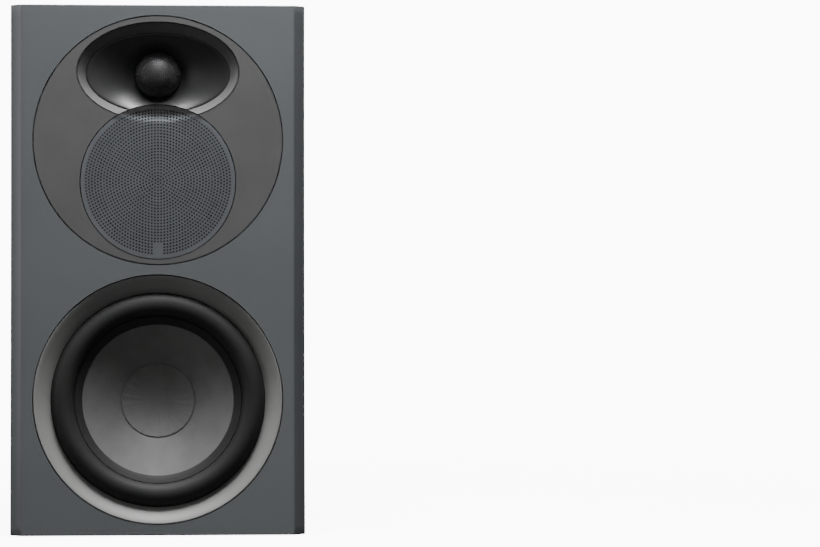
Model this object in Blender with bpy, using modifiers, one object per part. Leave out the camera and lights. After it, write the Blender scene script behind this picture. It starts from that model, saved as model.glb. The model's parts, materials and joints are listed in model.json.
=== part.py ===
"""Three-way bookshelf loudspeaker as an assembly of its separate pieces.

Metres, +Z up. The origin is at the bottom centre of the bounding box, the front faces -Y
and the back +Y. Each driver is drawn in a frame of its own, whose local Z is the axis of
the driver, pointing out of the cabinet, with 0 on the face of the baffle.
"""

import math

import bmesh
import bpy
from mathutils import Matrix, Vector

# Cabinet
WIDTH = 0.236
HEIGHT = 0.425
DEPTH_AT_WAIST = 0.2525
WAIST_HEIGHT = 0.327  # where the hollow baffle lies deepest
BAFFLE_RADIUS = 3.55  # of the arc that the front of the baffle follows
BAFFLE_WALL = 0.020
SIDE_WALL = 0.018
TOP_WALL = 0.018
BACK_WALL = 0.018
EDGE_CHAMFER = 0.0087
ARC_STATIONS = 12
GAP = 0.0003  # glue line, and the clearance between pieces that touch

# Feet
FOOT_RADIUS = 0.009
FOOT_PROUD = 0.001
FOOT_SUNK = 0.002
FOOT_EDGE = 0.004  # bottom panel left outside each foot

# Woofer: radii and depths from the face of the baffle
WOOFER_HEIGHT = 0.1085
RING_RADIUS = 0.0996
RING_INNER_RADIUS = 0.0861
RING_DEPTH = 0.0097
RING_LIP = 0.0007
FLANGE_THICKNESS = 0.0041
SEAT_WIDTH = 0.0063  # of the basket's flange, outside the surround
BASKET_WALL = 0.003
BASKET_CLEARANCE = 0.0019
BASKET_WINDOWS = 6
ROLL_WIDTH = 0.0184
ROLL_HEIGHT = 0.0082
RUBBER = 0.0008
LIP_WIDTH = 0.006
CAP_RADIUS = 0.0293
CAP_DISH = 0.0058
PAPER = 0.0010
CONE_SLOPE = 0.46
COIL_RADIUS = 0.0190
COIL_GAP = 0.0004
COIL_LENGTH = 0.014
FORMER = 0.0004
WINDING = 0.0008
SPIDER_RADIUS = 0.0635
CLOTH_THICKNESS = 0.0008
REAR_RING_RADIUS = 0.050
TOP_PLATE_RADIUS = 0.045
TOP_PLATE = 0.006
MAGNET_RADIUS = 0.050
MAGNET_THICKNESS = 0.016
YOKE_RADIUS = 0.046
YOKE_THICKNESS = 0.0065
VENT_RADIUS = 0.006

# Fascia that carries the tweeter horn and the midrange
FASCIA_HEIGHT = 0.3164
FASCIA_RADIUS = 0.0994
FASCIA_THICKNESS = 0.0052
FLARE_HEIGHT = 0.3715
FLARE_SEMI = (0.0647, 0.0395)
FLARE_DEPTH = 0.0070
HORN_HEIGHT = 0.3706
HORN_SEMI = (0.05775, 0.0323)
THROAT_HEIGHT = 0.3694
THROAT_RADIUS = 0.0190
THROAT_DEPTH = 0.0225
HORN_WALL = 0.0022
HORN_FLANGE = 0.0037
BOSS_DEPTH = 0.002

# Midrange
MID_HEIGHT = 0.2832
GRILLE_RADIUS = 0.0620
GRILLE_THICKNESS = 0.0012
GRILLE_LEDGE = 0.0024
MID_SEAT_DEPTH = 0.0168
MID_FLANGE = 0.003
MID_DEPTH = 0.028  # of the basket, behind its seat
MID_REAR_WALL = 0.0025
MID_ROLL_INSET = 0.0145  # from the basket's edge to the middle of the roll
MID_ROLL_HALF = 0.0040
MID_ROLL_HEIGHT = 0.0038
MID_RUBBER = 0.0006
MID_CONE_INSET = 0.0186
MID_LIP = 0.0030
MID_CONE_DEPTH = 0.0105
MID_PAPER = 0.0007
MID_CAP_RADIUS = 0.0150
MID_CAP_RISE = 0.0040
MID_COIL_RADIUS = 0.0127
MID_COIL_LENGTH = 0.007
MID_SPIDER_DEPTH = 0.0192
MID_MAGNET_THICKNESS = 0.014
MID_TOP_PLATE = 0.004
MID_YOKE_THICKNESS = 0.005

# Tweeter
BALL_RADIUS = 0.0190
BALL_WALL = 0.0008
CHASSIS_RADIUS = 0.030
CHASSIS_THICKNESS = 0.004
DOME_RADIUS = 0.0132
DOME_RISE = 0.0055
SILK_THICKNESS = 0.0004
SILK_ROLL_RADIUS = 0.0149
SILK_ROLL = 0.0013
TWEETER_COIL_RADIUS = 0.0126
TWEETER_COIL = 0.0005
TWEETER_COIL_LENGTH = 0.006
TWEETER_MOTOR_RADIUS = 0.025
TWEETER_MOTOR_DEPTH = 0.016
TWEETER_GAP_DEPTH = 0.007

# Back of the cabinet
PORT_HEIGHT = 0.330
PORT_RADIUS = 0.025
PORT_MOUTH_RADIUS = 0.036
PORT_LENGTH = 0.110
PORT_WALL = 0.0025
PORT_FLANGE = 0.003
PORT_FLANGE_WIDTH = 0.004
CUP_HEIGHT = 0.132
CUP_SIZE = (0.100, 0.074)
CUP_FLANGE = 0.011
CUP_FLANGE_THICKNESS = 0.0028
CUP_DEPTH = 0.014
CUP_WALL = 0.0025
COLLAR_HEIGHT = 0.004
COLLAR_RADIUS = 0.0072
WASHER_RADIUS = 0.0062
WASHER_THICKNESS = 0.0015
POST_SPACING = 0.038
POST_REACH = 0.0127  # how far the knobs stand out behind the cabinet
STUD_RADIUS = 0.003
STUD_BORE_RADIUS = 0.0021
STUD_BORE_DEPTH = 0.010
STUD_TAIL = 0.012  # behind the cup, where the board is held
KNOB_RADIUS = 0.00625
KNOB_END_RADIUS = 0.0075
KNOB_END = 0.0035
KNOB_GROOVE = 0.0006

# Inside the cabinet
BOARD_STANDOFF = 0.005
BOARD_THICKNESS = 0.0016
BRACE_THICKNESS = 0.014
BRACE_RAIL = 0.032  # left round the brace's window
CHAMBER_BOTTOM = 0.212
CHAMBER_TOP = HEIGHT - TOP_WALL - 0.001
CHAMBER_DEPTH = 0.085
CHAMBER_WALL = 0.005
CHAMBER_HALF = 0.092
LEAD_RADIUS = 0.002
WADDING_THICKNESS = 0.026
WADDING_FRONT = -0.045

# Facets round a full turn
FINE = 40
MIDDLE = 24
COARSE = 16

# Heights above are measured from the cabinet's underside, which the feet lift off the floor.
BASE = FOOT_PROUD
BOTTOM_SAG = WAIST_HEIGHT**2 / (2 * BAFFLE_RADIUS)
BACK = (DEPTH_AT_WAIST + BOTTOM_SAG - POST_REACH) / 2
WAIST_FRONT = BACK - DEPTH_AT_WAIST
BAFFLE_BACK = WAIST_FRONT + BAFFLE_WALL
INNER_HALF = WIDTH / 2 - SIDE_WALL

# What the sizes above settle for the drivers
SURROUND_RADIUS = RING_RADIUS - SEAT_WIDTH
ROLL_OUTER_RADIUS = RING_INNER_RADIUS - 0.0005
ROLL_INNER_RADIUS = ROLL_OUTER_RADIUS - ROLL_WIDTH
CONE_RADIUS = ROLL_INNER_RADIUS - 0.0004
GRILLE_BORE_RADIUS = GRILLE_RADIUS + 0.00035
MID_CONE_RADIUS = GRILLE_RADIUS - MID_CONE_INSET
THROAT_BACK = -THROAT_DEPTH - HORN_WALL - 0.001  # of the horn, where the tweeter is screwed on


def front_at(height):
    """Y of the baffle's face at this height above the cabinet's underside."""
    return WAIST_FRONT - (height - WAIST_HEIGHT) ** 2 / (2 * BAFFLE_RADIUS)


def slope_at(height):
    """How far the baffle's face leans back there, in radians."""
    return math.atan((WAIST_HEIGHT - height) / BAFFLE_RADIUS)


# Scene

for old in list(bpy.data.objects):
    bpy.data.objects.remove(old, do_unlink=True)

parts = bpy.data.collections.new("bookshelf_speaker")
cutters = bpy.data.collections.new("cutters")
bpy.context.scene.collection.children.link(parts)
bpy.context.scene.collection.children.link(cutters)


def material(name, colour, roughness, metallic=0.0):
    made = bpy.data.materials.new(name)
    made.use_nodes = True
    shader = made.node_tree.nodes["Principled BSDF"]
    shader.inputs["Base Color"].default_value = (*colour, 1.0)
    shader.inputs["Roughness"].default_value = roughness
    shader.inputs["Metallic"].default_value = metallic
    return made


LACQUER = material("slate_lacquer", (0.09, 0.11, 0.12), 0.35)
FASCIA = material("moulded_fascia", (0.085, 0.085, 0.085), 0.5)
HORN = material("satin_black_horn", (0.03, 0.03, 0.03), 0.35)
MESH = material("perforated_steel", (0.11, 0.115, 0.12), 0.45, 0.5)
RING = material("bead_blasted_aluminium", (0.35, 0.35, 0.35), 0.4, 1.0)
RUBBER_BLACK = material("butyl_rubber", (0.02, 0.02, 0.02), 0.45)
PULP = material("coated_pulp", (0.10, 0.10, 0.10), 0.6)
CASTING = material("cast_aluminium", (0.25, 0.25, 0.26), 0.5, 0.8)
STEEL = material("zinc_plated_steel", (0.55, 0.55, 0.52), 0.35, 1.0)
FERRITE = material("ferrite", (0.05, 0.05, 0.055), 0.7)
COPPER = material("enamelled_copper", (0.65, 0.28, 0.12), 0.35, 1.0)
CLOTH = material("treated_cotton", (0.42, 0.28, 0.12), 0.9)
PLASTIC = material("black_abs", (0.02, 0.02, 0.02), 0.45)
CHROME = material("chromed_brass", (0.75, 0.75, 0.76), 0.12, 1.0)
BOARD = material("glass_epoxy_board", (0.05, 0.16, 0.07), 0.5)
CERAMIC = material("cement_resistor", (0.75, 0.73, 0.68), 0.85)
WADDING = material("polyester_wadding", (0.75, 0.75, 0.73), 1.0)
SILK = material("coated_silk", (0.03, 0.03, 0.03), 0.6)


def finish(obj, mat, cutter=False):
    """Puts a new object in its collection and gives it its material."""
    if cutter:
        cutters.objects.link(obj)
        obj.hide_render = True
        obj.display_type = "WIRE"
        return obj
    parts.objects.link(obj)
    obj.data.materials.append(mat)
    return obj


def frame(name, height, y, tilt=0.0, rear=False):
    """An empty whose Z points out of the cabinet's front, or out of its back."""
    empty = bpy.data.objects.new(name, None)
    empty.location = (0, y, BASE + height)
    empty.rotation_euler = (math.pi / 2 - tilt, 0, math.pi if rear else 0)
    parts.objects.link(empty)
    return empty


def from_bmesh(name, mesh_tool, mat, cutter=False, parent=None, smooth=True):
    mesh = bpy.data.meshes.new(name)
    mesh_tool.to_mesh(mesh)
    mesh_tool.free()
    if smooth:
        mesh.shade_smooth()
        mesh.set_sharp_from_angle(angle=math.radians(35))
    obj = finish(bpy.data.objects.new(name, mesh), mat, cutter)
    obj.parent = parent
    return obj


def box(name, low, high, mat=None, cutter=False, parent=None, rounded=0.0, axis=2):
    """A box between two corners, with the four edges along one axis rounded."""
    tool = bmesh.new()
    size = Vector(high) - Vector(low)
    centre = (Vector(high) + Vector(low)) / 2
    bmesh.ops.create_cube(tool, size=1.0)
    bmesh.ops.transform(tool, matrix=Matrix.Diagonal((*size, 1)), verts=tool.verts)
    bmesh.ops.translate(tool, vec=centre, verts=tool.verts)
    if rounded:
        along = [
            edge
            for edge in tool.edges
            if abs((edge.verts[0].co - edge.verts[1].co).normalized()[axis]) > 0.9
        ]
        bmesh.ops.bevel(tool, geom=along, offset=rounded, segments=2, profile=0.5, affect="EDGES")
    return from_bmesh(name, tool, mat, cutter, parent, smooth=False)


def cylinder(name, radius, low, high, mat=None, cutter=False, parent=None, turns=MIDDLE, at=(0, 0)):
    """A cylinder along the local Z, from low to high."""
    tool = bmesh.new()
    bmesh.ops.create_cone(
        tool, cap_ends=True, segments=turns, radius1=radius, radius2=radius, depth=high - low
    )
    bmesh.ops.translate(tool, vec=(at[0], at[1], (high + low) / 2), verts=tool.verts)
    return from_bmesh(name, tool, mat, cutter, parent)


def loft(name, sections, mat=None, cutter=False, parent=None):
    """A closed body through rings of points that all have the same count."""
    tool = bmesh.new()
    rings = [[tool.verts.new(point) for point in section] for section in sections]
    count = len(rings[0])
    for near, far in zip(rings, rings[1:]):
        for i in range(count):
            j = (i + 1) % count
            tool.faces.new((near[i], near[j], far[j], far[i]))
    tool.faces.new(reversed(rings[0]))
    tool.faces.new(rings[-1])
    bmesh.ops.recalc_face_normals(tool, faces=tool.faces)
    return from_bmesh(name, tool, mat, cutter, parent)


def turned(name, profile, mat=None, cutter=False, parent=None, turns=MIDDLE, at=(0, 0)):
    """A closed (radius, height) profile turned round the local Z, with no edge along the axis."""
    shifted = profile[1:] + profile[:1]
    area = sum(a[0] * b[1] - b[0] * a[1] for a, b in zip(profile, shifted))
    if area > 0:
        profile = profile[::-1]
    mesh = bpy.data.meshes.new(name)
    count = len(profile)
    edges = [(i, (i + 1) % count) for i in range(count)]
    edges = [(i, j) for i, j in edges if profile[i][0] or profile[j][0]]
    mesh.from_pydata([(r, 0, z) for r, z in profile], edges, [])
    obj = finish(bpy.data.objects.new(name, mesh), mat, cutter)
    obj.parent = parent
    obj.location = (at[0], at[1], 0)
    screw = obj.modifiers.new("turn", "SCREW")
    screw.steps = turns
    screw.render_steps = turns
    screw.use_merge_vertices = True
    screw.merge_threshold = 0.00001
    screw.use_smooth_shade = True
    weld = obj.modifiers.new("close_the_axis", "WELD")
    weld.merge_threshold = 0.00001
    return obj


def boolean(obj, other, operation="DIFFERENCE", solver="EXACT"):
    made = obj.modifiers.new(operation.lower(), "BOOLEAN")
    made.operation = operation
    made.solver = solver
    made.object = other


def ellipse(semi, height, level, count=FINE):
    """Ring of points round an ellipse, at this height above the frame's centre."""
    turns = [2 * math.pi * i / count for i in range(count)]
    return [(semi[0] * math.cos(t), height + semi[1] * math.sin(t), level) for t in turns]


def grown(semi, by):
    return (semi[0] + by, semi[1] + by)


def arc(centre, half_width, rise, count):
    """Half ellipse in (radius, height), from its outer foot over the top to its inner foot."""
    turns = [math.pi * i / count for i in range(count + 1)]
    return [(centre + half_width * math.cos(t), rise[0] + rise[1] * math.sin(t)) for t in turns]


# Cabinet


def section_at(height):
    """The baffle's level outline, with its two front corners chamfered."""
    y = front_at(height)
    half = WIDTH / 2
    outline = [
        (-half, BAFFLE_BACK),
        (-half, y + EDGE_CHAMFER),
        (-half + EDGE_CHAMFER, y),
        (half - EDGE_CHAMFER, y),
        (half, y + EDGE_CHAMFER),
        (half, BAFFLE_BACK),
    ]
    return [(x, y, BASE + height) for x, y in outline]


def baffle_sections():
    return [section_at(HEIGHT * i / ARC_STATIONS) for i in range(ARC_STATIONS + 1)]


def make_side_panel(name, side):
    outer = side * WIDTH / 2
    inner = side * INNER_HALF
    near = BAFFLE_BACK + GAP
    outline = [
        (inner, near),
        (outer, near),
        (outer, BACK - EDGE_CHAMFER),
        (outer - side * EDGE_CHAMFER, BACK),
        (inner, BACK),
    ]
    levels = (BASE, BASE + HEIGHT)
    loft(name, [[(x, y, level) for x, y in outline] for level in levels], LACQUER)


def make_level_panel(name, low, high):
    half = INNER_HALF - GAP
    return box(name, (-half, BAFFLE_BACK + GAP, BASE + low), (half, BACK, BASE + high), LACQUER)


def foot_places():
    x = INNER_HALF - GAP - FOOT_EDGE - FOOT_RADIUS
    near = BAFFLE_BACK + GAP + FOOT_EDGE + FOOT_RADIUS
    far = BACK - EDGE_CHAMFER - FOOT_EDGE - FOOT_RADIUS
    return {
        "foot_front_left": (-x, near),
        "foot_front_right": (x, near),
        "foot_back_left": (-x, far),
        "foot_back_right": (x, far),
    }


def make_cabinet():
    baffle = loft("front_baffle", baffle_sections(), LACQUER)
    make_side_panel("left_side_panel", -1)
    make_side_panel("right_side_panel", 1)
    make_level_panel("top_panel", HEIGHT - TOP_WALL, HEIGHT)
    bottom = make_level_panel("bottom_panel", 0, TOP_WALL)
    half = INNER_HALF - GAP
    low = TOP_WALL + GAP
    high = HEIGHT - TOP_WALL - GAP
    back = box(
        "back_panel",
        (-half, BACK - BACK_WALL, BASE + low),
        (half, BACK, BASE + high),
        LACQUER,
    )
    for name, at in foot_places().items():
        top = BASE + FOOT_SUNK
        wide = FOOT_RADIUS + GAP
        pocket = cylinder(name + "_pocket", wide, -0.002, top, cutter=True, turns=COARSE, at=at)
        boolean(bottom, pocket)
        cylinder(name, FOOT_RADIUS, 0, top - GAP, RUBBER_BLACK, turns=COARSE, at=at)
    return baffle, back


def make_brace():
    """A shelf across the cabinet between the woofer and the midrange, with a large window."""
    half = INNER_HALF - GAP
    top = CHAMBER_BOTTOM - 2 * GAP
    low = (-half, BAFFLE_BACK + GAP, BASE + top - BRACE_THICKNESS)
    high = (half, BACK - BACK_WALL - GAP, BASE + top)
    brace = box("window_brace", low, high, LACQUER)
    rail = BRACE_RAIL
    window = box(
        "brace_window",
        (low[0] + rail, low[1] + rail, low[2] - 0.01),
        (high[0] - rail, high[1] - rail, high[2] + 0.01),
        cutter=True,
        rounded=0.015,
    )
    boolean(brace, window)


def make_chamber():
    """Closed tub behind the fascia, which keeps the woofer's pressure off the midrange."""
    near = BAFFLE_BACK + GAP
    far = near + CHAMBER_DEPTH
    tub = box(
        "midrange_chamber",
        (-CHAMBER_HALF, near, BASE + CHAMBER_BOTTOM),
        (CHAMBER_HALF, far, BASE + CHAMBER_TOP),
        PLASTIC,
        rounded=0.008,
        axis=1,
    )
    wall = CHAMBER_WALL
    hollow = box(
        "chamber_hollow",
        (-CHAMBER_HALF + wall, near - 0.01, BASE + CHAMBER_BOTTOM + wall),
        (CHAMBER_HALF - wall, far - wall, BASE + CHAMBER_TOP - wall),
        cutter=True,
        rounded=0.005,
        axis=1,
    )
    boolean(tub, hollow)
    return tub


# Woofer


def woofer_levels():
    """The heights along the woofer's axis at which its pieces meet."""
    flange_front = -RING_DEPTH - GAP
    cone_rim = flange_front - RUBBER - 2 * GAP
    cap_edge = cone_rim - CONE_SLOPE * (CONE_RADIUS - CAP_RADIUS)
    neck = cap_edge - 0.6 * (CAP_RADIUS - COIL_RADIUS)
    plate_front = neck - 0.031
    return {
        "flange_front": flange_front,
        "flange_back": flange_front - FLANGE_THICKNESS - RUBBER - GAP,
        "cone_rim": cone_rim,
        "cap_edge": cap_edge,
        "neck": neck,
        "spider": neck - 0.0135,
        "plate_front": plate_front,
        "plate_back": plate_front - TOP_PLATE,
        "magnet_back": plate_front - TOP_PLATE - MAGNET_THICKNESS,
        "yoke_back": plate_front - TOP_PLATE - MAGNET_THICKNESS - YOKE_THICKNESS,
    }


def make_trim_ring(axis):
    profile = [
        (RING_RADIUS, 0),
        (RING_RADIUS, -RING_DEPTH),
        (RING_INNER_RADIUS, -RING_DEPTH),
        (RING_INNER_RADIUS, -RING_DEPTH + RING_LIP),
        (RING_RADIUS - 0.0005, 0),
    ]
    turned("woofer_trim_ring", profile, RING, parent=axis, turns=FINE)


def make_woofer_basket(axis, level):
    """Cast frame: a front flange, a conical wall with six windows, a spider ledge, a rear ring."""
    front = level["flange_front"]
    pocket = front - RUBBER - GAP
    back = level["flange_back"]
    spider = level["spider"]
    rear = level["plate_front"] + GAP
    wall = BASKET_WALL
    ledge_outer = SPIDER_RADIUS + 0.001
    ledge_inner = SPIDER_RADIUS - 0.0035
    shoulder = RING_INNER_RADIUS - 0.0035
    rear_bore = COIL_RADIUS + 0.0035
    seat = SURROUND_RADIUS + GAP
    profile = [
        (RING_RADIUS, front),
        (RING_RADIUS, back),
        (RING_INNER_RADIUS + 0.0004, back),
        (RING_INNER_RADIUS + 0.0002, back - wall),
        (ledge_outer + wall, spider - wall),
        (REAR_RING_RADIUS, rear + wall),
        (REAR_RING_RADIUS, rear),
        (rear_bore, rear),
        (rear_bore, rear + wall),
        (REAR_RING_RADIUS - wall, rear + wall),
        (ledge_inner, spider - wall - 0.0005),
        (ledge_inner, spider - GAP),
        (ledge_outer, spider - GAP),
        (shoulder, back - wall),
        (shoulder, pocket),
        (seat, pocket),
        (seat, front),
    ]
    basket = turned("woofer_basket", profile, CASTING, parent=axis, turns=FINE)
    for i in range(BASKET_WINDOWS):
        window = box(
            f"basket_window_{i}",
            (0.055, -0.024, spider + wall),
            (0.095, 0.024, back - 2 * wall),
            cutter=True,
            parent=axis,
        )
        window.rotation_euler = (0, 0, 2 * math.pi * (i + 0.5) / BASKET_WINDOWS)
        boolean(basket, window)


def make_woofer_surround(axis, level):
    """Rubber half roll with a flat outer flange and a sloping lip glued to the cone."""
    front = level["flange_front"]
    back = front - RUBBER
    middle = (ROLL_OUTER_RADIUS + ROLL_INNER_RADIUS) / 2
    half = (ROLL_OUTER_RADIUS - ROLL_INNER_RADIUS) / 2
    over = arc(middle, half, (front, ROLL_HEIGHT), 6)
    under = arc(middle, half - RUBBER, (back, ROLL_HEIGHT), 6)[::-1]
    lip = CONE_RADIUS - LIP_WIDTH
    lip_back = level["cone_rim"] + GAP - CONE_SLOPE * LIP_WIDTH
    profile = [(SURROUND_RADIUS, front)] + over
    profile += [(lip, lip_back + RUBBER), (lip, lip_back)]
    profile += [(CONE_RADIUS, level["cone_rim"] + GAP)] + under + [(SURROUND_RADIUS, back)]
    turned("woofer_surround", profile, RUBBER_BLACK, parent=axis, turns=FINE)


def make_woofer_moving(axis, level):
    """Cone, dished dust cap and voice coil, which travel together along the axis."""
    former = COIL_RADIUS + FORMER
    neck_radius = former + GAP
    rim = level["cone_rim"]
    cap_edge = level["cap_edge"]
    neck = level["neck"]
    cone = [
        (CONE_RADIUS, rim),
        (CAP_RADIUS, cap_edge),
        (neck_radius, neck),
        (neck_radius, neck - PAPER),
        (CAP_RADIUS, cap_edge - PAPER),
        (CONE_RADIUS, rim - PAPER),
    ]
    turned("woofer_cone", cone, PULP, parent=axis, turns=FINE)
    edge = cap_edge + GAP + 0.0002
    steps = 4
    dish = [
        (CAP_RADIUS * (1 - i / steps), edge - CAP_DISH * (1 - (1 - i / steps) ** 2))
        for i in range(steps + 1)
    ]
    lifted = [(r, z + PAPER / 2) for r, z in dish]
    turned("woofer_dust_cap", lifted + dish[::-1], PULP, parent=axis, turns=MIDDLE)
    winding = former + WINDING
    centre = (level["plate_front"] + level["plate_back"]) / 2
    half = COIL_LENGTH / 2
    top = neck + 0.0006
    coil = [
        (former, top),
        (former, centre + half),
        (winding, centre + half),
        (winding, centre - half),
        (COIL_RADIUS, centre - half),
        (COIL_RADIUS, top),
    ]
    turned("woofer_voice_coil", coil, COPPER, parent=axis, turns=MIDDLE)


def corrugated(inner, outer, level, depth, waves, thickness):
    """(radius, height) profile of a thin corrugated disc with a flat outer rim."""
    rim = outer - 0.005
    count = 2 * waves
    tops = [(outer, level)]
    for i in range(count + 1):
        radius = rim + (inner - rim) * i / count
        tops.append((radius, level + (depth if i % 2 else 0)))
    return tops + [(r, z - thickness) for r, z in reversed(tops)]


def make_woofer_motor(axis, level):
    inner = COIL_RADIUS + FORMER + GAP
    height = level["spider"] + CLOTH_THICKNESS
    spider = corrugated(inner, SPIDER_RADIUS, height, 0.003, 2, CLOTH_THICKNESS)
    turned("woofer_spider", spider, CLOTH, parent=axis, turns=MIDDLE)
    bore = COIL_RADIUS + FORMER + WINDING + COIL_GAP
    pole = COIL_RADIUS - COIL_GAP
    front, back = level["plate_front"], level["plate_back"]
    plate = [(TOP_PLATE_RADIUS, front), (TOP_PLATE_RADIUS, back), (bore, back), (bore, front)]
    turned("woofer_top_plate", plate, STEEL, parent=axis, turns=MIDDLE)
    front, back = back - GAP, level["magnet_back"]
    hole = COIL_RADIUS + 0.007
    magnet = [(MAGNET_RADIUS, front), (MAGNET_RADIUS, back), (hole, back), (hole, front)]
    turned("woofer_magnet", magnet, FERRITE, parent=axis, turns=MIDDLE)
    front, back = back - GAP, level["yoke_back"]
    yoke = [
        (YOKE_RADIUS, front),
        (YOKE_RADIUS, back),
        (VENT_RADIUS, back),
        (VENT_RADIUS, level["plate_front"]),
        (pole, level["plate_front"]),
        (pole, front),
    ]
    turned("woofer_yoke", yoke, STEEL, parent=axis, turns=MIDDLE)


def make_woofer(baffle):
    height = WOOFER_HEIGHT
    axis = frame("woofer_axis", height, front_at(height), slope_at(height))
    level = woofer_levels()
    seat = level["flange_back"] - GAP
    recess = cylinder("woofer_recess", RING_RADIUS + 0.0004, seat, 0.02, None, True, axis, FINE)
    through_radius = RING_INNER_RADIUS + BASKET_CLEARANCE
    hole = cylinder("woofer_hole", through_radius, -0.08, 0.01, None, True, axis, FINE)
    boolean(baffle, recess)
    boolean(baffle, hole)
    make_trim_ring(axis)
    make_woofer_basket(axis, level)
    make_woofer_surround(axis, level)
    make_woofer_moving(axis, level)
    make_woofer_motor(axis, level)


# Fascia, tweeter horn and midrange grille


def bowl_sections(centre_height, lift=0.0):
    """Rings down the horn's inner surface, from in front of the fascia to behind the throat."""
    flare = FLARE_HEIGHT - centre_height
    horn = HORN_HEIGHT - centre_height
    throat = THROAT_HEIGHT - centre_height
    rings = [ellipse(FLARE_SEMI, flare, 0.02), ellipse(FLARE_SEMI, flare, lift)]
    steps = 4
    for i in range(steps + 1):
        t = i / steps
        semi = [a + (THROAT_RADIUS - a) * t for a in HORN_SEMI]
        depth = FLARE_DEPTH + (THROAT_DEPTH - FLARE_DEPTH) * (0.45 * t + 0.55 * t**2.2)
        rings.append(ellipse(semi, horn + (throat - horn) * t, lift - depth))
    rings.append(ellipse((THROAT_RADIUS,) * 2, throat, -0.06))
    return rings


def envelope(name, shift):
    """What lies behind the face of the baffle, moved back by a shift, as a cutter."""
    body = loft(name, baffle_sections(), cutter=True)
    body.location = (0, shift, 0)
    return body


def make_fascia(baffle, centre):
    """Disc with the flare round the horn's mouth and a collar for the midrange behind it."""
    up = MID_HEIGHT - FASCIA_HEIGHT
    at = (0, up)
    bore = GRILLE_BORE_RADIUS
    collar = bore + 0.0015
    low = -FASCIA_THICKNESS
    fascia = cylinder("waveguide_plate", FASCIA_RADIUS, low, 0.01, FASCIA, False, centre, FINE)
    boss_semi = grown(HORN_SEMI, HORN_FLANGE)
    horn = HORN_HEIGHT - FASCIA_HEIGHT
    back_of_boss = -FLARE_DEPTH - BOSS_DEPTH
    boss = loft(
        "horn_boss",
        [ellipse(boss_semi, horn, back_of_boss), ellipse(boss_semi, horn, -0.001)],
        cutter=True,
        parent=centre,
    )
    rear = -MID_SEAT_DEPTH - MID_FLANGE - 0.0002
    ring = cylinder("midrange_collar", collar, rear, -0.001, None, True, centre, FINE, at)
    boolean(fascia, boss, "UNION", "MANIFOLD")
    boolean(fascia, ring, "UNION", "MANIFOLD")
    bowl = loft("bowl_form", bowl_sections(FASCIA_HEIGHT), cutter=True, parent=centre)
    fits = grown(HORN_SEMI, GAP / 2)
    pocket = loft(
        "horn_pocket",
        [
            ellipse(fits, horn, -FLARE_DEPTH / 2),
            ellipse(fits, horn, back_of_boss),
            ellipse(grown(boss_semi, GAP), horn, back_of_boss),
            ellipse(grown(boss_semi, GAP), horn, -0.05),
        ],
        cutter=True,
        parent=centre,
    )
    seat = -0.0004 - GRILLE_THICKNESS
    grille_bore = cylinder("grille_bore", bore, seat, 0.02, None, True, centre, FINE, at)
    inside = GRILLE_RADIUS - GRILLE_LEDGE
    opening = cylinder("midrange_opening", inside, -0.05, 0.02, None, True, centre, FINE, at)
    seat_depth = -MID_SEAT_DEPTH
    counterbore = cylinder("midrange_seat", bore, -0.05, seat_depth, None, True, centre, FINE, at)
    relief = cylinder("ledge_relief", bore, -0.03, 0.01, None, True, centre, FINE, at)
    lowered = loft(
        "ledge_bowl", bowl_sections(FASCIA_HEIGHT, seat), cutter=True, parent=centre
    )
    boolean(relief, lowered, "INTERSECT")
    for cutter in (bowl, pocket, grille_bore, opening, counterbore, relief):
        boolean(fascia, cutter, solver="MANIFOLD")
    face = envelope("fascia_face", 0)
    boolean(fascia, face, "INTERSECT", "MANIFOLD")
    recess = cylinder(
        "fascia_recess", FASCIA_RADIUS + 0.0005, -FASCIA_THICKNESS - GAP, 0.02, None, True, centre, FINE
    )
    midrange_hole = cylinder("midrange_hole", collar + 0.0004, -0.05, 0, None, True, centre, FINE, at)
    horn_hole = loft(
        "horn_hole",
        [ellipse(grown(boss_semi, 0.0008), horn, 0), ellipse(grown(boss_semi, 0.0008), horn, -0.05)],
        cutter=True,
        parent=centre,
    )
    for cutter in (recess, midrange_hole, horn_hole):
        boolean(baffle, cutter)
    return bowl


def make_horn(centre, bowl):
    """Elliptical horn set into the fascia from behind, cut away where the midrange stands."""
    horn = HORN_HEIGHT - FASCIA_HEIGHT
    throat = THROAT_HEIGHT - FASCIA_HEIGHT
    fits = grown(HORN_SEMI, -GAP / 2)
    flange = grown(HORN_SEMI, HORN_FLANGE)
    front = -FLARE_DEPTH - BOSS_DEPTH - GAP
    rear_radius = THROAT_RADIUS + 0.004
    body = loft(
        "tweeter_horn",
        [
            ellipse(fits, horn, -FLARE_DEPTH),
            ellipse(fits, horn, front),
            ellipse(flange, horn, front),
            ellipse(flange, horn, front - HORN_WALL),
            ellipse((0.046, rear_radius + 0.006), (horn + throat) / 2, -THROAT_DEPTH + 0.003),
            ellipse((0.032, rear_radius + 0.001), throat, -THROAT_DEPTH - 0.0015),
            ellipse((rear_radius,) * 2, throat, THROAT_BACK),
        ],
        HORN,
        parent=centre,
    )
    up = MID_HEIGHT - FASCIA_HEIGHT
    bore = GRILLE_BORE_RADIUS
    relief = cylinder("horn_relief", bore, -0.05, 0.02, None, True, centre, FINE, (0, up))
    boolean(body, bowl, solver="MANIFOLD")
    boolean(body, relief, solver="MANIFOLD")


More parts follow.
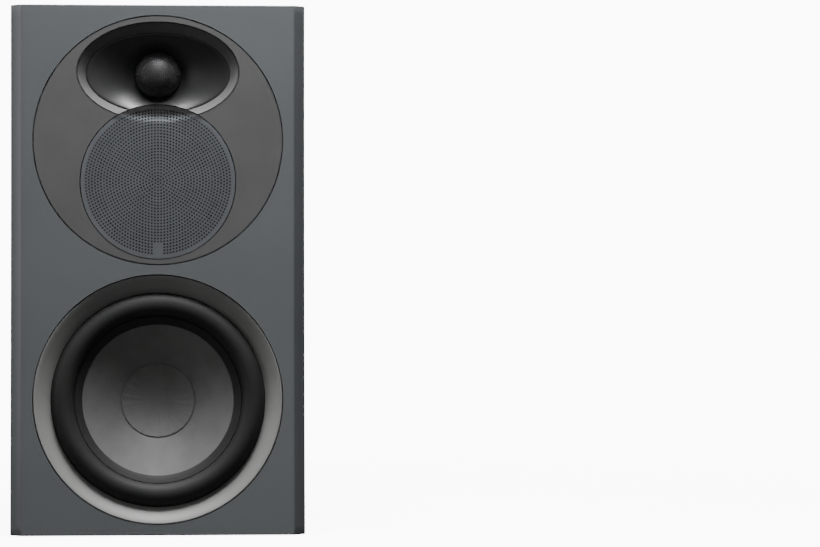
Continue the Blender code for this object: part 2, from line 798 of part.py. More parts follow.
def make_midrange_grille(centre, bowl):
    """Sheet disc flush with the fascia, whose top edge bends down into the horn."""
    up = MID_HEIGHT - FASCIA_HEIGHT
    at = (0, up)
    radius = GRILLE_RADIUS
    grille = cylinder("midrange_grille", radius, -0.022, 0.01, MESH, False, centre, FINE, at)
    front = envelope("grille_face", 0)
    boolean(grille, front, "INTERSECT", "MANIFOLD")
    boolean(grille, bowl, solver="MANIFOLD")
    behind = cylinder("grille_behind", radius + 0.001, -0.04, 0.01, None, True, centre, FINE, at)
    back = envelope("grille_back", GRILLE_THICKNESS)
    lower_bowl = loft(
        "bowl_form_behind",
        bowl_sections(FASCIA_HEIGHT, -GRILLE_THICKNESS),
        cutter=True,
        parent=centre,
    )
    boolean(behind, back, "INTERSECT", "MANIFOLD")
    boolean(behind, lower_bowl, solver="MANIFOLD")
    boolean(grille, behind, solver="MANIFOLD")


def make_midrange(axis):
    """Midrange driver, screwed to the fascia's collar from behind."""
    front = -MID_SEAT_DEPTH - GAP
    rear = front - MID_DEPTH
    inside = rear + MID_REAR_WALL
    shelf = front - MID_SPIDER_DEPTH - GAP
    radius = GRILLE_RADIUS
    bore = MID_COIL_RADIUS + 0.0033
    seat = radius - 0.0045
    basket = [
        (radius, front),
        (radius, front - MID_FLANGE),
        (radius - 0.008, front - MID_FLANGE),
        (radius - 0.020, shelf - 0.0005),
        (radius - 0.028, inside),
        (radius - 0.028, rear),
        (bore, rear),
        (bore, inside),
        (radius - 0.032, inside),
        (radius - 0.027, shelf - 0.0015),
        (radius - 0.027, shelf),
        (radius - 0.0225, shelf),
        (radius - 0.0115, front - MID_FLANGE),
        (radius - 0.0115, front - 2 * MID_RUBBER),
        (seat, front - 2 * MID_RUBBER),
        (seat, front),
    ]
    turned("midrange_basket", basket, CASTING, parent=axis, turns=MIDDLE)
    rim = make_midrange_surround(axis, front - GAP)
    make_midrange_moving(axis, rim, rear - GAP)
    inner = MID_COIL_RADIUS + FORMER + GAP + 0.0001
    height = front - MID_SPIDER_DEPTH + MID_RUBBER
    spider = corrugated(inner, radius - 0.0232, height, 0.0018, 2, MID_RUBBER)
    turned("midrange_spider", spider, CLOTH, parent=axis, turns=COARSE)
    make_midrange_motor(axis, rear - GAP)


def make_midrange_surround(axis, flange):
    """Small rubber half roll; gives the height of the cone's rim under it."""
    outer = GRILLE_RADIUS - 0.0048
    inner = MID_CONE_RADIUS - MID_LIP + 0.0001
    middle = GRILLE_RADIUS - MID_ROLL_INSET
    half = MID_ROLL_HALF
    rubber = MID_RUBBER
    over = arc(middle, half, (flange, MID_ROLL_HEIGHT), 4)
    under = arc(middle, half - rubber, (flange - rubber, MID_ROLL_HEIGHT), 4)[::-1]
    surround = [(outer, flange)] + over + [(inner, flange), (inner, flange - rubber)]
    surround += under + [(outer, flange - rubber)]
    turned("midrange_surround", surround, RUBBER_BLACK, parent=axis, turns=MIDDLE)
    return flange - rubber - GAP


def make_midrange_moving(axis, rim, plate_front):
    """Cone, dust cap and voice coil of the midrange."""
    former = MID_COIL_RADIUS + FORMER
    neck_radius = former + GAP
    neck = rim - MID_CONE_DEPTH
    shoulder = MID_CONE_RADIUS - MID_LIP
    cone = [
        (MID_CONE_RADIUS, rim),
        (shoulder, rim - 0.0005),
        (neck_radius, neck),
        (neck_radius, neck - MID_PAPER),
        (shoulder, rim - 0.0005 - MID_PAPER),
        (MID_CONE_RADIUS, rim - MID_PAPER),
    ]
    turned("midrange_cone", cone, PULP, parent=axis, turns=MIDDLE)
    share = (shoulder - MID_CAP_RADIUS) / (shoulder - neck_radius)
    cap_edge = rim - 0.0005 - (MID_CONE_DEPTH - 0.0005) * share + GAP
    steps = 3
    dome = [
        (MID_CAP_RADIUS * (1 - i / steps), cap_edge + MID_CAP_RISE * (1 - (1 - i / steps) ** 2))
        for i in range(steps + 1)
    ]
    lifted = [(r, z + 0.0005) for r, z in dome]
    turned("midrange_dust_cap", lifted + dome[::-1], PULP, parent=axis, turns=MIDDLE)
    centre = plate_front - MID_TOP_PLATE / 2
    winding = former + 0.0006
    half = MID_COIL_LENGTH / 2
    coil = [
        (former, neck + 0.0004),
        (former, centre + half),
        (winding, centre + half),
        (winding, centre - half),
        (MID_COIL_RADIUS, centre - half),
        (MID_COIL_RADIUS, neck + 0.0004),
    ]
    turned("midrange_voice_coil", coil, COPPER, parent=axis, turns=COARSE)


def make_midrange_motor(axis, plate_front):
    magnet_back = plate_front - MID_MAGNET_THICKNESS
    plate_back = plate_front - MID_TOP_PLATE
    outer = GRILLE_RADIUS - 0.026
    hole = MID_COIL_RADIUS + 0.0053
    bore = MID_COIL_RADIUS + 0.0015
    magnet = [
        (outer, plate_front),
        (outer, magnet_back),
        (hole, magnet_back),
        (hole, plate_back),
        (bore, plate_back),
        (bore, plate_front),
    ]
    turned("midrange_magnet", magnet, FERRITE, parent=axis, turns=MIDDLE)
    yoke_front = magnet_back - GAP
    yoke_back = yoke_front - MID_YOKE_THICKNESS
    pole = MID_COIL_RADIUS - 0.0005
    vent = 0.004
    yoke = [
        (outer - 0.002, yoke_front),
        (outer - 0.002, yoke_back),
        (vent, yoke_back),
        (vent, plate_front),
        (pole, plate_front),
        (pole, yoke_front),
    ]
    turned("midrange_yoke", yoke, STEEL, parent=axis, turns=MIDDLE)


def make_tweeter(axis):
    """Dome tweeter behind a ball-shaped grille that stands in the horn's throat."""
    make_ball_grille(axis)
    front = THROAT_BACK - GAP
    wide = DOME_RADIUS + 0.0036
    deep = front - 0.0016
    hole = DOME_RADIUS + 0.0006
    chassis = [
        (CHASSIS_RADIUS, front),
        (CHASSIS_RADIUS, front - CHASSIS_THICKNESS),
        (hole, front - CHASSIS_THICKNESS),
        (hole, deep),
        (wide, deep),
        (wide, front),
    ]
    turned("tweeter_chassis", chassis, PLASTIC, parent=axis, turns=MIDDLE)
    foot = deep + GAP
    silk = SILK_THICKNESS
    flange = wide - 0.0002
    over = arc(SILK_ROLL_RADIUS, SILK_ROLL, (foot + silk, SILK_ROLL), 3)
    under = arc(SILK_ROLL_RADIUS, SILK_ROLL - silk, (foot, SILK_ROLL), 3)[::-1]
    surround = [(flange, foot + silk)] + over + under + [(flange, foot)]
    turned("tweeter_surround", surround, SILK, parent=axis, turns=COARSE)
    steps = 4
    turns = [math.pi / 2 * i / steps for i in range(steps + 1)]
    dome = [(DOME_RADIUS * math.cos(turn), foot + DOME_RISE * math.sin(turn)) for turn in turns]
    dome[-1] = (0, dome[-1][1])
    lifted = [(r, z + silk) for r, z in dome]
    turned("tweeter_dome", lifted + dome[::-1], SILK, parent=axis, turns=COARSE)
    inner = TWEETER_COIL_RADIUS
    outer = inner + TWEETER_COIL
    coil = [
        (outer, foot - GAP),
        (outer, foot - TWEETER_COIL_LENGTH),
        (inner, foot - TWEETER_COIL_LENGTH),
        (inner, foot - GAP),
    ]
    turned("tweeter_voice_coil", coil, COPPER, parent=axis, turns=COARSE)
    front = front - CHASSIS_THICKNESS - GAP
    back = front - TWEETER_MOTOR_DEPTH
    groove = front - TWEETER_GAP_DEPTH
    vent = 0.002
    motor = [
        (TWEETER_MOTOR_RADIUS, front),
        (TWEETER_MOTOR_RADIUS, back),
        (vent, back),
        (vent, front),
        (inner - COIL_GAP, front),
        (inner - COIL_GAP, groove),
        (outer + 0.0005, groove),
        (outer + 0.0005, front),
    ]
    turned("tweeter_motor", motor, STEEL, parent=axis, turns=COARSE)


def make_ball_grille(axis):
    """Thin cap of a ball whose skirt passes down the horn's throat."""
    ball = BALL_RADIUS
    wall = BALL_WALL
    skirt = THROAT_RADIUS - 0.0004
    drop = math.sqrt(ball**2 - skirt**2)
    steps = 5
    turns = [math.acos(drop / ball) * i / steps for i in range(steps + 1)]
    top = -drop - THROAT_DEPTH
    outer = [(ball * math.sin(turn), ball * math.cos(turn) + top) for turn in turns]
    inner = [
        (r * (1 - wall / ball), z - wall * math.cos(turn)) for (r, z), turn in zip(outer, turns)
    ]
    foot = THROAT_BACK + 0.0002
    rim = [(skirt, foot), (skirt - wall, foot)]
    turned("tweeter_grille", outer + rim + inner[::-1], MESH, parent=axis, turns=MIDDLE)


def make_upper_module(baffle):
    centre = frame("fascia_centre", FASCIA_HEIGHT, WAIST_FRONT)
    bowl = make_fascia(baffle, centre)
    make_horn(centre, bowl)
    make_midrange_grille(centre, bowl)
    make_midrange(frame("midrange_axis", MID_HEIGHT, WAIST_FRONT))
    make_tweeter(frame("tweeter_axis", THROAT_HEIGHT, WAIST_FRONT))


# Back: port, terminals and crossover


def make_port(back):
    """Flared tube of the bass reflex port, set flush into the back panel."""
    axis = frame("port_axis", PORT_HEIGHT, BACK, rear=True)
    wall = PORT_WALL
    flange_radius = PORT_MOUTH_RADIUS + PORT_FLANGE_WIDTH
    flange = PORT_FLANGE
    curve = PORT_MOUTH_RADIUS - PORT_RADIUS
    steps = 4
    mouth = [
        (
            PORT_RADIUS + curve * (1 - math.cos(math.pi / 2 * i / steps)),
            -curve * (1 - math.sin(math.pi / 2 * i / steps)),
        )
        for i in range(steps + 1)
    ]
    outside = PORT_MOUTH_RADIUS + 0.0005
    profile = [(PORT_RADIUS, -PORT_LENGTH)] + mouth
    profile += [
        (flange_radius, 0),
        (flange_radius, -flange),
        (outside, -flange),
        (PORT_RADIUS + wall, -curve - wall),
        (PORT_RADIUS + wall, -PORT_LENGTH),
    ]
    turned("port_tube", profile, PLASTIC, parent=axis, turns=MIDDLE)
    recess = cylinder("port_recess", flange_radius + 0.0004, -flange - GAP, 0.01, None, True, axis)
    deep = -BACK_WALL - 0.012
    hole = cylinder("port_hole", outside + 0.0004, deep, 0.01, None, True, axis)
    boolean(back, recess)
    boolean(back, hole)


def make_terminal_cup(back, axis):
    half_x, half_y = CUP_SIZE[0] / 2, CUP_SIZE[1] / 2
    flange = CUP_FLANGE_THICKNESS
    wide_x, wide_y = half_x + CUP_FLANGE, half_y + CUP_FLANGE
    floor = -CUP_DEPTH
    cup = box(
        "terminal_cup",
        (-wide_x, -wide_y, -flange),
        (wide_x, wide_y, 0),
        PLASTIC,
        parent=axis,
        rounded=0.006,
    )
    body = box(
        "cup_body",
        (-half_x, -half_y, floor - CUP_WALL),
        (half_x, half_y, -0.001),
        cutter=True,
        parent=axis,
        rounded=0.008,
    )
    wall = CUP_WALL
    hollow = box(
        "cup_hollow",
        (-half_x + wall, -half_y + wall, floor),
        (half_x - wall, half_y - wall, 0.01),
        cutter=True,
        parent=axis,
        rounded=0.006,
    )
    boolean(cup, body, "UNION")
    boolean(cup, hollow)
    gap = 0.0004
    recess = box(
        "cup_recess",
        (-wide_x - gap, -wide_y - gap, -flange - GAP),
        (wide_x + gap, wide_y + gap, 0.01),
        cutter=True,
        parent=axis,
        rounded=0.006,
    )
    hole = box(
        "cup_hole",
        (-half_x - gap, -half_y - gap, -BACK_WALL - 0.012),
        (half_x + gap, half_y + gap, 0.01),
        cutter=True,
        parent=axis,
        rounded=0.008,
    )
    boolean(back, recess)
    boolean(back, hole)
    inset = CUP_FLANGE / 2
    xs = (-wide_x + inset, wide_x - inset)
    ys = (-wide_y + inset, wide_y - inset)
    corners = [(x, y) for x in xs for y in ys]
    for number, corner in enumerate(corners, 1):
        make_cup_screw(number, corner, cup, back, axis)
    return cup


def make_cup_screw(number, corner, cup, back, axis):
    """Countersunk screw whose head is flush with the cup's flange."""
    head, shank, sink, length = 0.0032, 0.0014, 0.0018, 0.012
    profile = [(0, -length), (shank, -length + 0.002), (shank, -sink), (head, -0.0001), (0, -0.0001)]
    turned(f"cup_screw_{number}", profile, STEEL, parent=axis, turns=COARSE // 2, at=corner)
    wide, hole = head + GAP, shank + GAP
    sunk = [(0, -0.015), (hole, -0.015), (hole, -sink - GAP), (wide, 0.0001), (wide, 0.01), (0, 0.01)]
    cutter = turned(f"screw_hole_{number}", sunk, cutter=True, parent=axis, turns=COARSE // 2, at=corner)
    boolean(cup, cutter)
    boolean(back, cutter)


def make_collar(colour, x, cup, axis):
    """Raised collar moulded on the cup's floor round a stud."""
    floor = -CUP_DEPTH
    top = floor + COLLAR_HEIGHT
    bore = STUD_RADIUS / 2
    collar = [
        (bore, floor - CUP_WALL / 2),
        (COLLAR_RADIUS, floor - CUP_WALL / 2),
        (COLLAR_RADIUS, top - 0.001),
        (COLLAR_RADIUS - 0.0006, top),
        (bore, top),
    ]
    at = (x, 0)
    body = turned(f"collar_{colour}", collar, cutter=True, parent=axis, turns=COARSE, at=at)
    boolean(cup, body, "UNION")


def make_post(colour, x, cup, axis):
    """Binding post: a stud through the cup's collar, a washer, and a knob that screws along it."""
    at = (x, 0)
    stud_end = POST_REACH - 0.002
    inside = -CUP_DEPTH - CUP_WALL - STUD_TAIL
    stud = [
        (0, inside),
        (STUD_RADIUS, inside),
        (STUD_RADIUS, stud_end),
        (STUD_BORE_RADIUS, stud_end),
        (STUD_BORE_RADIUS, stud_end - STUD_BORE_DEPTH),
        (0, stud_end - STUD_BORE_DEPTH),
    ]
    turned(f"post_stud_{colour}", stud, CHROME, parent=axis, turns=COARSE, at=at)
    hole = STUD_RADIUS + GAP
    collar_top = COLLAR_HEIGHT - CUP_DEPTH
    washer_low = collar_top + GAP
    washer_top = washer_low + WASHER_THICKNESS
    edge = WASHER_RADIUS
    washer = [(edge, washer_low), (edge, washer_top), (hole, washer_top), (hole, washer_low)]
    turned(f"post_washer_{colour}", washer, CHROME, parent=axis, turns=COARSE, at=at)
    start = washer_top + GAP
    low, high = 0.0017, 0.0027
    knob = [
        (hole, start),
        (KNOB_RADIUS, start),
        (KNOB_RADIUS, low),
        (KNOB_RADIUS - KNOB_GROOVE, low),
        (KNOB_RADIUS - KNOB_GROOVE, high),
        (KNOB_RADIUS, high),
        (KNOB_RADIUS, POST_REACH - KNOB_END),
        (KNOB_END_RADIUS, POST_REACH - KNOB_END + 0.0004),
        (KNOB_END_RADIUS, POST_REACH - KNOB_GROOVE),
        (KNOB_END_RADIUS - KNOB_GROOVE, POST_REACH),
        (hole, POST_REACH),
    ]
    turned(f"post_knob_{colour}", knob, PLASTIC, parent=axis, turns=COARSE, at=at)
    bore = cylinder(f"stud_hole_{colour}", hole, -0.03, 0.005, None, True, axis, COARSE, at)
    boolean(cup, bore, solver="MANIFOLD")
    return bore


def make_crossover(axis, stud_holes):
    """Filter board carried on the studs behind the terminal cup, with its large components."""
    thickness = BOARD_THICKNESS
    front = -BACK_WALL - BOARD_STANDOFF
    board = box(
        "crossover_board", (-0.070, -0.045, front - thickness), (0.070, 0.052, front), BOARD, parent=axis
    )
    for hole in stud_holes:
        boolean(board, hole)
    face = front - thickness - GAP
    coil = [(0.022, face), (0.022, face - 0.020), (0.010, face - 0.020), (0.010, face)]
    turned("bass_coil", coil, COPPER, parent=axis, at=(-0.044, 0.019))
    lying_cylinder("bass_capacitor", 0.0095, 0.044, (-0.040, -0.030), face, axis, PLASTIC)
    lying_cylinder("tweeter_capacitor", 0.0075, 0.034, (0.041, -0.031), face, axis, PLASTIC)
    box(
        "midrange_resistor",
        (0.006, 0.012, face - 0.009),
        (0.015, 0.050, face),
        CERAMIC,
        parent=axis,
        rounded=0.001,
        axis=1,
    )


def lying_cylinder(name, radius, length, at, face, axis, mat):
    """A cylinder on its side along X, lying against the board."""
    tool = bmesh.new()
    bmesh.ops.create_cone(
        tool, cap_ends=True, segments=COARSE, radius1=radius, radius2=radius, depth=length
    )
    lying = Matrix.Rotation(math.pi / 2, 3, "Y")
    bmesh.ops.rotate(tool, cent=(0, 0, 0), matrix=lying, verts=tool.verts)
    bmesh.ops.translate(tool, vec=(at[0], at[1], face - radius), verts=tool.verts)
    from_bmesh(name, tool, mat, parent=axis)


# Leads and wadding


def through(points, steps=3):
    """Points along a smooth Catmull-Rom curve through the given ones."""
    path = [Vector(point) for point in points]
    padded = [path[0] * 2 - path[1]] + path + [path[-1] * 2 - path[-2]]
    found = []
    for a, b, c, d in zip(padded, padded[1:], padded[2:], padded[3:]):
        square = 2 * a - 5 * b + 4 * c - d
        cube = 3 * b - a - 3 * c + d
        for i in range(steps):
            t = i / steps
            found.append(0.5 * (2 * b + (c - a) * t + square * t**2 + cube * t**3))
    return found + [path[-1]]


def make_lead(name, points):
    data = bpy.data.curves.new(name, "CURVE")
    data.dimensions = "3D"
    data.bevel_depth = LEAD_RADIUS
    data.bevel_resolution = 2
    data.use_fill_caps = True
    route = through(points)
    spline = data.splines.new("POLY")
    spline.points.add(len(route) - 1)
    for point, place in zip(spline.points, route):
        point.co = (*place, 1)
    finish(bpy.data.objects.new(name, data), PLASTIC)


def make_leads(tub):
    """Leads from the filter board to the drivers, clear of every other piece."""
    board = BACK - BACK_WALL - BOARD_STANDOFF - BOARD_THICKNESS - 0.0012
    tub_back = BAFFLE_BACK + GAP + CHAMBER_DEPTH
    make_lead(
        "woofer_leads",
        [
            (-0.045, board, 0.165),
            (-0.045, board - 0.020, 0.172),
            (-0.042, 0.030, 0.186),
            (-0.038, -0.015, 0.187),
            (-0.036, -0.050, 0.184),
        ],
    )
    for name, x, inner in (("midrange_leads", -0.030, 0.300), ("tweeter_leads", 0.030, 0.375)):
        hole = box(
            name + "_gland",
            (x - LEAD_RADIUS - GAP, tub_back - 0.02, BASE + inner - LEAD_RADIUS - GAP),
            (x + LEAD_RADIUS + GAP, tub_back + 0.02, BASE + inner + LEAD_RADIUS + GAP),
            cutter=True,
        )
        boolean(tub, hole)
        z = BASE + inner
        make_lead(
            name,
            [
                (x, board, 0.181),
                (x, board - 0.020, 0.190),
                (x, 0.030, 0.222),
                (x, 0.006, z - 0.050),
                (x, 0.003, z - 0.014),
                (x, -0.008, z),
                (x, tub_back, z),
                (x, tub_back - 0.012, z),
            ],
        )


def make_wadding():
    """Soft slab on the cabinet floor behind the woofer."""
    half = INNER_HALF - 0.008
    low = BASE + TOP_WALL + GAP
    box(
        "damping_wadding",
        (-half, WADDING_FRONT, low),
        (half, BACK - BACK_WALL - 0.006, low + WADDING_THICKNESS),
        WADDING,
        rounded=0.010,
        axis=1,
    )


def make_back(back):
    make_port(back)
    axis = frame("terminal_axis", CUP_HEIGHT, BACK, rear=True)
    cup = make_terminal_cup(back, axis)
    places = {"red": -POST_SPACING / 2, "black": POST_SPACING / 2}
    for colour, x in places.items():
        make_collar(colour, x, cup, axis)
    holes = [make_post(colour, x, cup, axis) for colour, x in places.items()]
    make_crossover(axis, holes)


front_baffle, back_panel = make_cabinet()
make_brace()
make_woofer(front_baffle)
make_upper_module(front_baffle)
make_back(back_panel)
make_leads(make_chamber())
make_wadding()
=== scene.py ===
import json
import math

import bmesh
import bpy
from mathutils import Matrix, Vector


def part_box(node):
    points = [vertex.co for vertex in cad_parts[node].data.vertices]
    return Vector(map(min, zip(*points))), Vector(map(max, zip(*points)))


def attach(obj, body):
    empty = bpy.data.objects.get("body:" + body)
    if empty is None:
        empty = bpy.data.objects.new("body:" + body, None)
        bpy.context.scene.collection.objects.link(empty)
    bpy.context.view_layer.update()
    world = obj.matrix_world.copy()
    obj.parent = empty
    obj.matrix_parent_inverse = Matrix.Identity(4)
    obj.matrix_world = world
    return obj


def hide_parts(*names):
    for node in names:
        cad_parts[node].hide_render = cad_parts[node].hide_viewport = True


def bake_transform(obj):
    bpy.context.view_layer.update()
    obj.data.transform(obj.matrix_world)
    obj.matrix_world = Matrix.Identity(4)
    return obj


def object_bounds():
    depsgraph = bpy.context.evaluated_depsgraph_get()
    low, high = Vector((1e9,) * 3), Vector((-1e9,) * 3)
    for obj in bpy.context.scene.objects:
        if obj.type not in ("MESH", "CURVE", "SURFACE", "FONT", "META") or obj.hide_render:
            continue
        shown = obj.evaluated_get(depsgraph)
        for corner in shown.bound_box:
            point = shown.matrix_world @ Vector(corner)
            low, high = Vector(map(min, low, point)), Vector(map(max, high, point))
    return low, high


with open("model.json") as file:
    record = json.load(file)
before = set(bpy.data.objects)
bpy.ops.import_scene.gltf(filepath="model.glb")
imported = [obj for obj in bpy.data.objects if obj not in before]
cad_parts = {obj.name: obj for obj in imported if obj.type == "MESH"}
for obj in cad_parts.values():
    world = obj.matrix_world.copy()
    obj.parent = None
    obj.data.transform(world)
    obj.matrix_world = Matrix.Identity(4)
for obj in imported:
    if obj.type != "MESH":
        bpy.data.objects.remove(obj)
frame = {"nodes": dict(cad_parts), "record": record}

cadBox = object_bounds()
nodes = frame["nodes"]
print("frame loaded:", len(nodes), "nodes")


# small tools

def pickNothing():
    bpy.ops.object.select_all(action="DESELECT")


def pickOnly(obj):
    pickNothing()
    obj.select_set(True)
    bpy.context.view_layer.objects.active = obj


def startEditing(obj, mode="VERT"):
    pickOnly(obj)
    bpy.ops.object.mode_set(mode="EDIT")
    bpy.ops.mesh.select_mode(type=mode)


def stopEditing():
    bpy.ops.object.mode_set(mode="OBJECT")


def selectVertices(obj, test):
    bpy.ops.mesh.select_all(action="DESELECT")
    mesh = bmesh.from_edit_mesh(obj.data)
    for vertex in mesh.verts:
        if test(vertex.co):
            vertex.select_set(True)
    mesh.select_flush_mode()
    bmesh.update_edit_mesh(obj.data)


def selectEdges(obj, test):
    bpy.ops.mesh.select_all(action="DESELECT")
    mesh = bmesh.from_edit_mesh(obj.data)
    for edge in mesh.edges:
        if test(edge.verts[0].co, edge.verts[1].co):
            edge.select_set(True)
    bmesh.update_edit_mesh(obj.data)


def applyModifier(piece, kind, **settings):
    pickOnly(piece)
    bpy.ops.object.modifier_add(type=kind)
    step = piece.modifiers[-1]
    for name, value in settings.items():
        setattr(step, name, value)
    bpy.ops.object.modifier_apply(modifier=step.name)


def carve(piece, tool, operation="DIFFERENCE"):
    # cuts the tool out of a piece, adds it, or keeps what the two share
    applyModifier(piece, "BOOLEAN", operation=operation, solver="MANIFOLD", object=tool)
    bpy.data.objects.remove(tool, do_unlink=True)


def roundEdges(piece, width, segments=2, above=30):
    applyModifier(piece, "BEVEL", width=width, segments=segments, limit_method="ANGLE",
                  angle_limit=math.radians(above))


def smooth(piece, angle=32):
    pickOnly(piece)
    bpy.ops.object.shade_smooth_by_angle(angle=math.radians(angle))


def settle(piece, place):
    # moves a finished piece to its place and puts that place in its mesh
    pickOnly(piece)
    piece.matrix_world = place
    bpy.ops.object.transform_apply(location=True, rotation=True, scale=True)


def carveAt(piece, tool, place):
    settle(tool, place)
    carve(piece, tool)


pinPoint = 0.000002  # radius that stands for a pole
weldDistance = 0.000012


def drawRings(name, rings, sides, ends="closed"):
    # starts from a circle, then extrudes it ring by ring; a ring is (half width, half height, offset up, level)
    # ends: closed joins the last ring to the first, capped fills both, poles leaves both at a point
    pickNothing()
    bpy.ops.mesh.primitive_circle_add(vertices=sides, radius=1, fill_type="NOTHING")
    piece = bpy.context.object
    piece.name = name
    startEditing(piece, "EDGE")
    bpy.ops.mesh.select_all(action="SELECT")
    rings = [tuple(max(size, pinPoint) for size in ring[:2]) + tuple(ring[2:]) for ring in rings]
    if ends == "closed":
        rings.append(rings[0])
    wide, tall, up, level = rings[0]
    bpy.ops.transform.resize(value=(wide, tall, 1), center_override=(0, 0, 0))
    bpy.ops.transform.translate(value=(0, up, level))
    for before, ring in zip(rings, rings[1:]):
        move = (0, ring[2] - before[2], ring[3] - before[3])
        bpy.ops.mesh.extrude_edges_move(TRANSFORM_OT_translate={"value": move})
        size = (ring[0] / before[0], ring[1] / before[1], 1)
        bpy.ops.transform.resize(value=size, center_override=(0, ring[2], ring[3]))
    if ends == "capped":
        bpy.ops.mesh.edge_face_add()
        bpy.ops.mesh.select_non_manifold()
        bpy.ops.mesh.edge_face_add()
    bpy.ops.mesh.select_all(action="SELECT")
    bpy.ops.mesh.remove_doubles(threshold=weldDistance)
    bpy.ops.mesh.normals_make_consistent(inside=False)
    stopEditing()
    return piece


def turn(name, outline, sides, ends="closed", up=0.0):
    # a turned piece from its (radius, level) outline
    return drawRings(name, [(radius, radius, up, level) for radius, level in outline], sides, ends)


def rod(name, radius, low, high, sides, up=0.0):
    return turn(name, [(radius, low), (radius, high)], sides, "capped", up)


def bend(centre, radius, start, stop, steps):
    # points round an arc in the (radius, level) plane, angles in degrees
    turns = [math.radians(start + (stop - start) * i / steps) for i in range(steps + 1)]
    return [(centre[0] + radius[0] * math.cos(t), centre[1] + radius[1] * math.sin(t)) for t in turns]


def facing(height, y, lean=0.0, rear=False, x=0.0):
    # a place whose Z points out of the front of the cabinet, or out of its back
    turned = Matrix.Rotation(math.pi if rear else 0, 4, "Z") @ Matrix.Rotation(math.pi / 2 - lean, 4, "X")
    return Matrix.Translation((x, y, height)) @ turned


# sizes that the frame gives

low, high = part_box("front_baffle")
baseZ, topZ, halfWidth = low[2], high[2], high[0]
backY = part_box("back_panel")[1][1]

cabinet = {
    "waist": 0.327,          # height of the hollow's deepest line above the underside
    "arcRadius": 3.55,       # of the hollow front
    "chamfer": 0.0087,
    "edgeRound": 0.0009,
    "slices": 64,            # strips that make up the hollow front
    "fit": 0.0003,           # room under and round what sits in a recess
}
waistZ = baseZ + cabinet["waist"]
waistY = low[1] + cabinet["waist"] ** 2 / (2 * cabinet["arcRadius"])


def frontAt(z):
    return waistY - (z - waistZ) ** 2 / (2 * cabinet["arcRadius"])


woofer = {
    "height": 0.1085,
    "ring": 0.0996, "ringBore": 0.0861, "ringDepth": 0.0097, "ringGap": 0.0007,
    "ringEdge": 0.0004, "ringShoulder": 0.0009, "ringStep": 0.0001,
    "recess": 0.0155, "hole": 0.088,
    "rollOuter": 0.0856, "rollInner": 0.0674, "rollHeight": 0.0082, "rubber": 0.0008,
    "flange": 0.0933, "flangeLevel": -0.0100,
    "lip": 0.0608, "cone": 0.0668, "coneRim": -0.0114, "coneSlope": 0.46, "glue": 0.0003,
    "cap": 0.0293, "capDish": 0.0058, "capLift": 0.0005, "neck": 0.0197, "neckSlope": 0.6, "paper": 0.0010,
    "coil": 0.0190, "spider": (0.0197, 0.0635), "spiderDrop": 0.0127, "spiderWave": 0.0030, "spiderWaves": 6,
    "spiderFixed": 0.0585, "spiderFree": 0.0215, "cloth": 0.0008,
    "sides": 160,
}
upper = {
    "plate": 0.0994, "plateDepth": 0.0052, "plateGap": 0.0010,
    "flare": (0.0647, 0.0395), "flareHeight": 0.3715,
    "mouth": (0.05775, 0.0323), "mouthHeight": 0.3706, "mouthDepth": 0.0070,
    "throat": 0.0190, "throatHeight": 0.3694, "throatDepth": 0.0225,
    "hornLip": 0.0006,       # flat rim round the horn's mouth
    "hornRun": (0.45, 0.55, 2.2),  # how it falls: straight share, curved share and its power
    "grille": 0.0620, "grilleHeight": 0.2832, "grilleSheet": 0.0012,
    "gap": 0.0007, "mouthGap": 0.0003,
    "collar": 0.00185, "collarDepth": 0.020, "boss": 0.0037, "bossDepth": 0.002,
    "grilleRoom": 0.0023, "hornRoom": 0.0045,  # how far the holes behind them are cut outside them
    "groove": (0.0006, -0.0003, 0.0030),  # round the flare: outward, inward and deep
    "sides": 192,
}
plateZ = (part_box("waveguide_plate")[0][2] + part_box("waveguide_plate")[1][2]) / 2
midZ = baseZ + upper["grilleHeight"]
tweeterZ = baseZ + upper["throatHeight"]
wooferZ = baseZ + woofer["height"]
wooferLean = math.atan((cabinet["waist"] - woofer["height"]) / cabinet["arcRadius"])
wooferPlace = facing(wooferZ, frontAt(wooferZ), wooferLean)
platePlace = facing(plateZ, waistY)


# colours and materials

def colour(text):
    # sRGB hex to linear
    channels = [int(text[i:i + 2], 16) / 255 for i in (1, 3, 5)]
    linear = [c / 12.92 if c <= 0.04045 else ((c + 0.055) / 1.055) ** 2.4 for c in channels]
    return (*linear, 1.0)


def perMetre(millimetres):
    # texture scale for a grain of this size
    return 1000 / millimetres


def addNode(tree, kind, settings=None, links=None):
    node = tree.nodes.new(kind)
    for name, value in (settings or {}).items():
        if isinstance(name, int) or name in node.inputs:
            node.inputs[name].default_value = value
        else:
            setattr(node, name, value)
    for name, source in (links or {}).items():
        tree.links.new(source, node.inputs[name])
    return node


def startMaterial(name, base, roughness, metallic=0.0, **sockets):
    made = bpy.data.materials.new(name)
    made.use_nodes = True
    tree = made.node_tree
    shader = tree.nodes["Principled BSDF"]
    shader.inputs["Base Color"].default_value = colour(base)
    shader.inputs["Roughness"].default_value = roughness
    shader.inputs["Metallic"].default_value = metallic
    for socket, value in sockets.items():
        shader.inputs[socket.replace("_", " ")].default_value = value
    where = addNode(tree, "ShaderNodeTexCoord").outputs["Object"]
    return made, tree, shader, where


def tintBetween(tree, shader, factor, first, second, spread=(0.35, 0.65)):
    # colour that wanders between two near shades
    ramp = addNode(tree, "ShaderNodeValToRGB", links={"Fac": factor})
    ramp.color_ramp.elements[0].position, ramp.color_ramp.elements[1].position = spread
    ramp.color_ramp.elements[0].color = colour(first)
    ramp.color_ramp.elements[1].color = colour(second)
    tree.links.new(ramp.outputs["Color"], shader.inputs["Base Color"])


def roughBetween(tree, shader, factor, least, most):
    spread = addNode(tree, "ShaderNodeMapRange", {"To Min": least, "To Max": most}, {"Value": factor})
    tree.links.new(spread.outputs["Result"], shader.inputs["Roughness"])


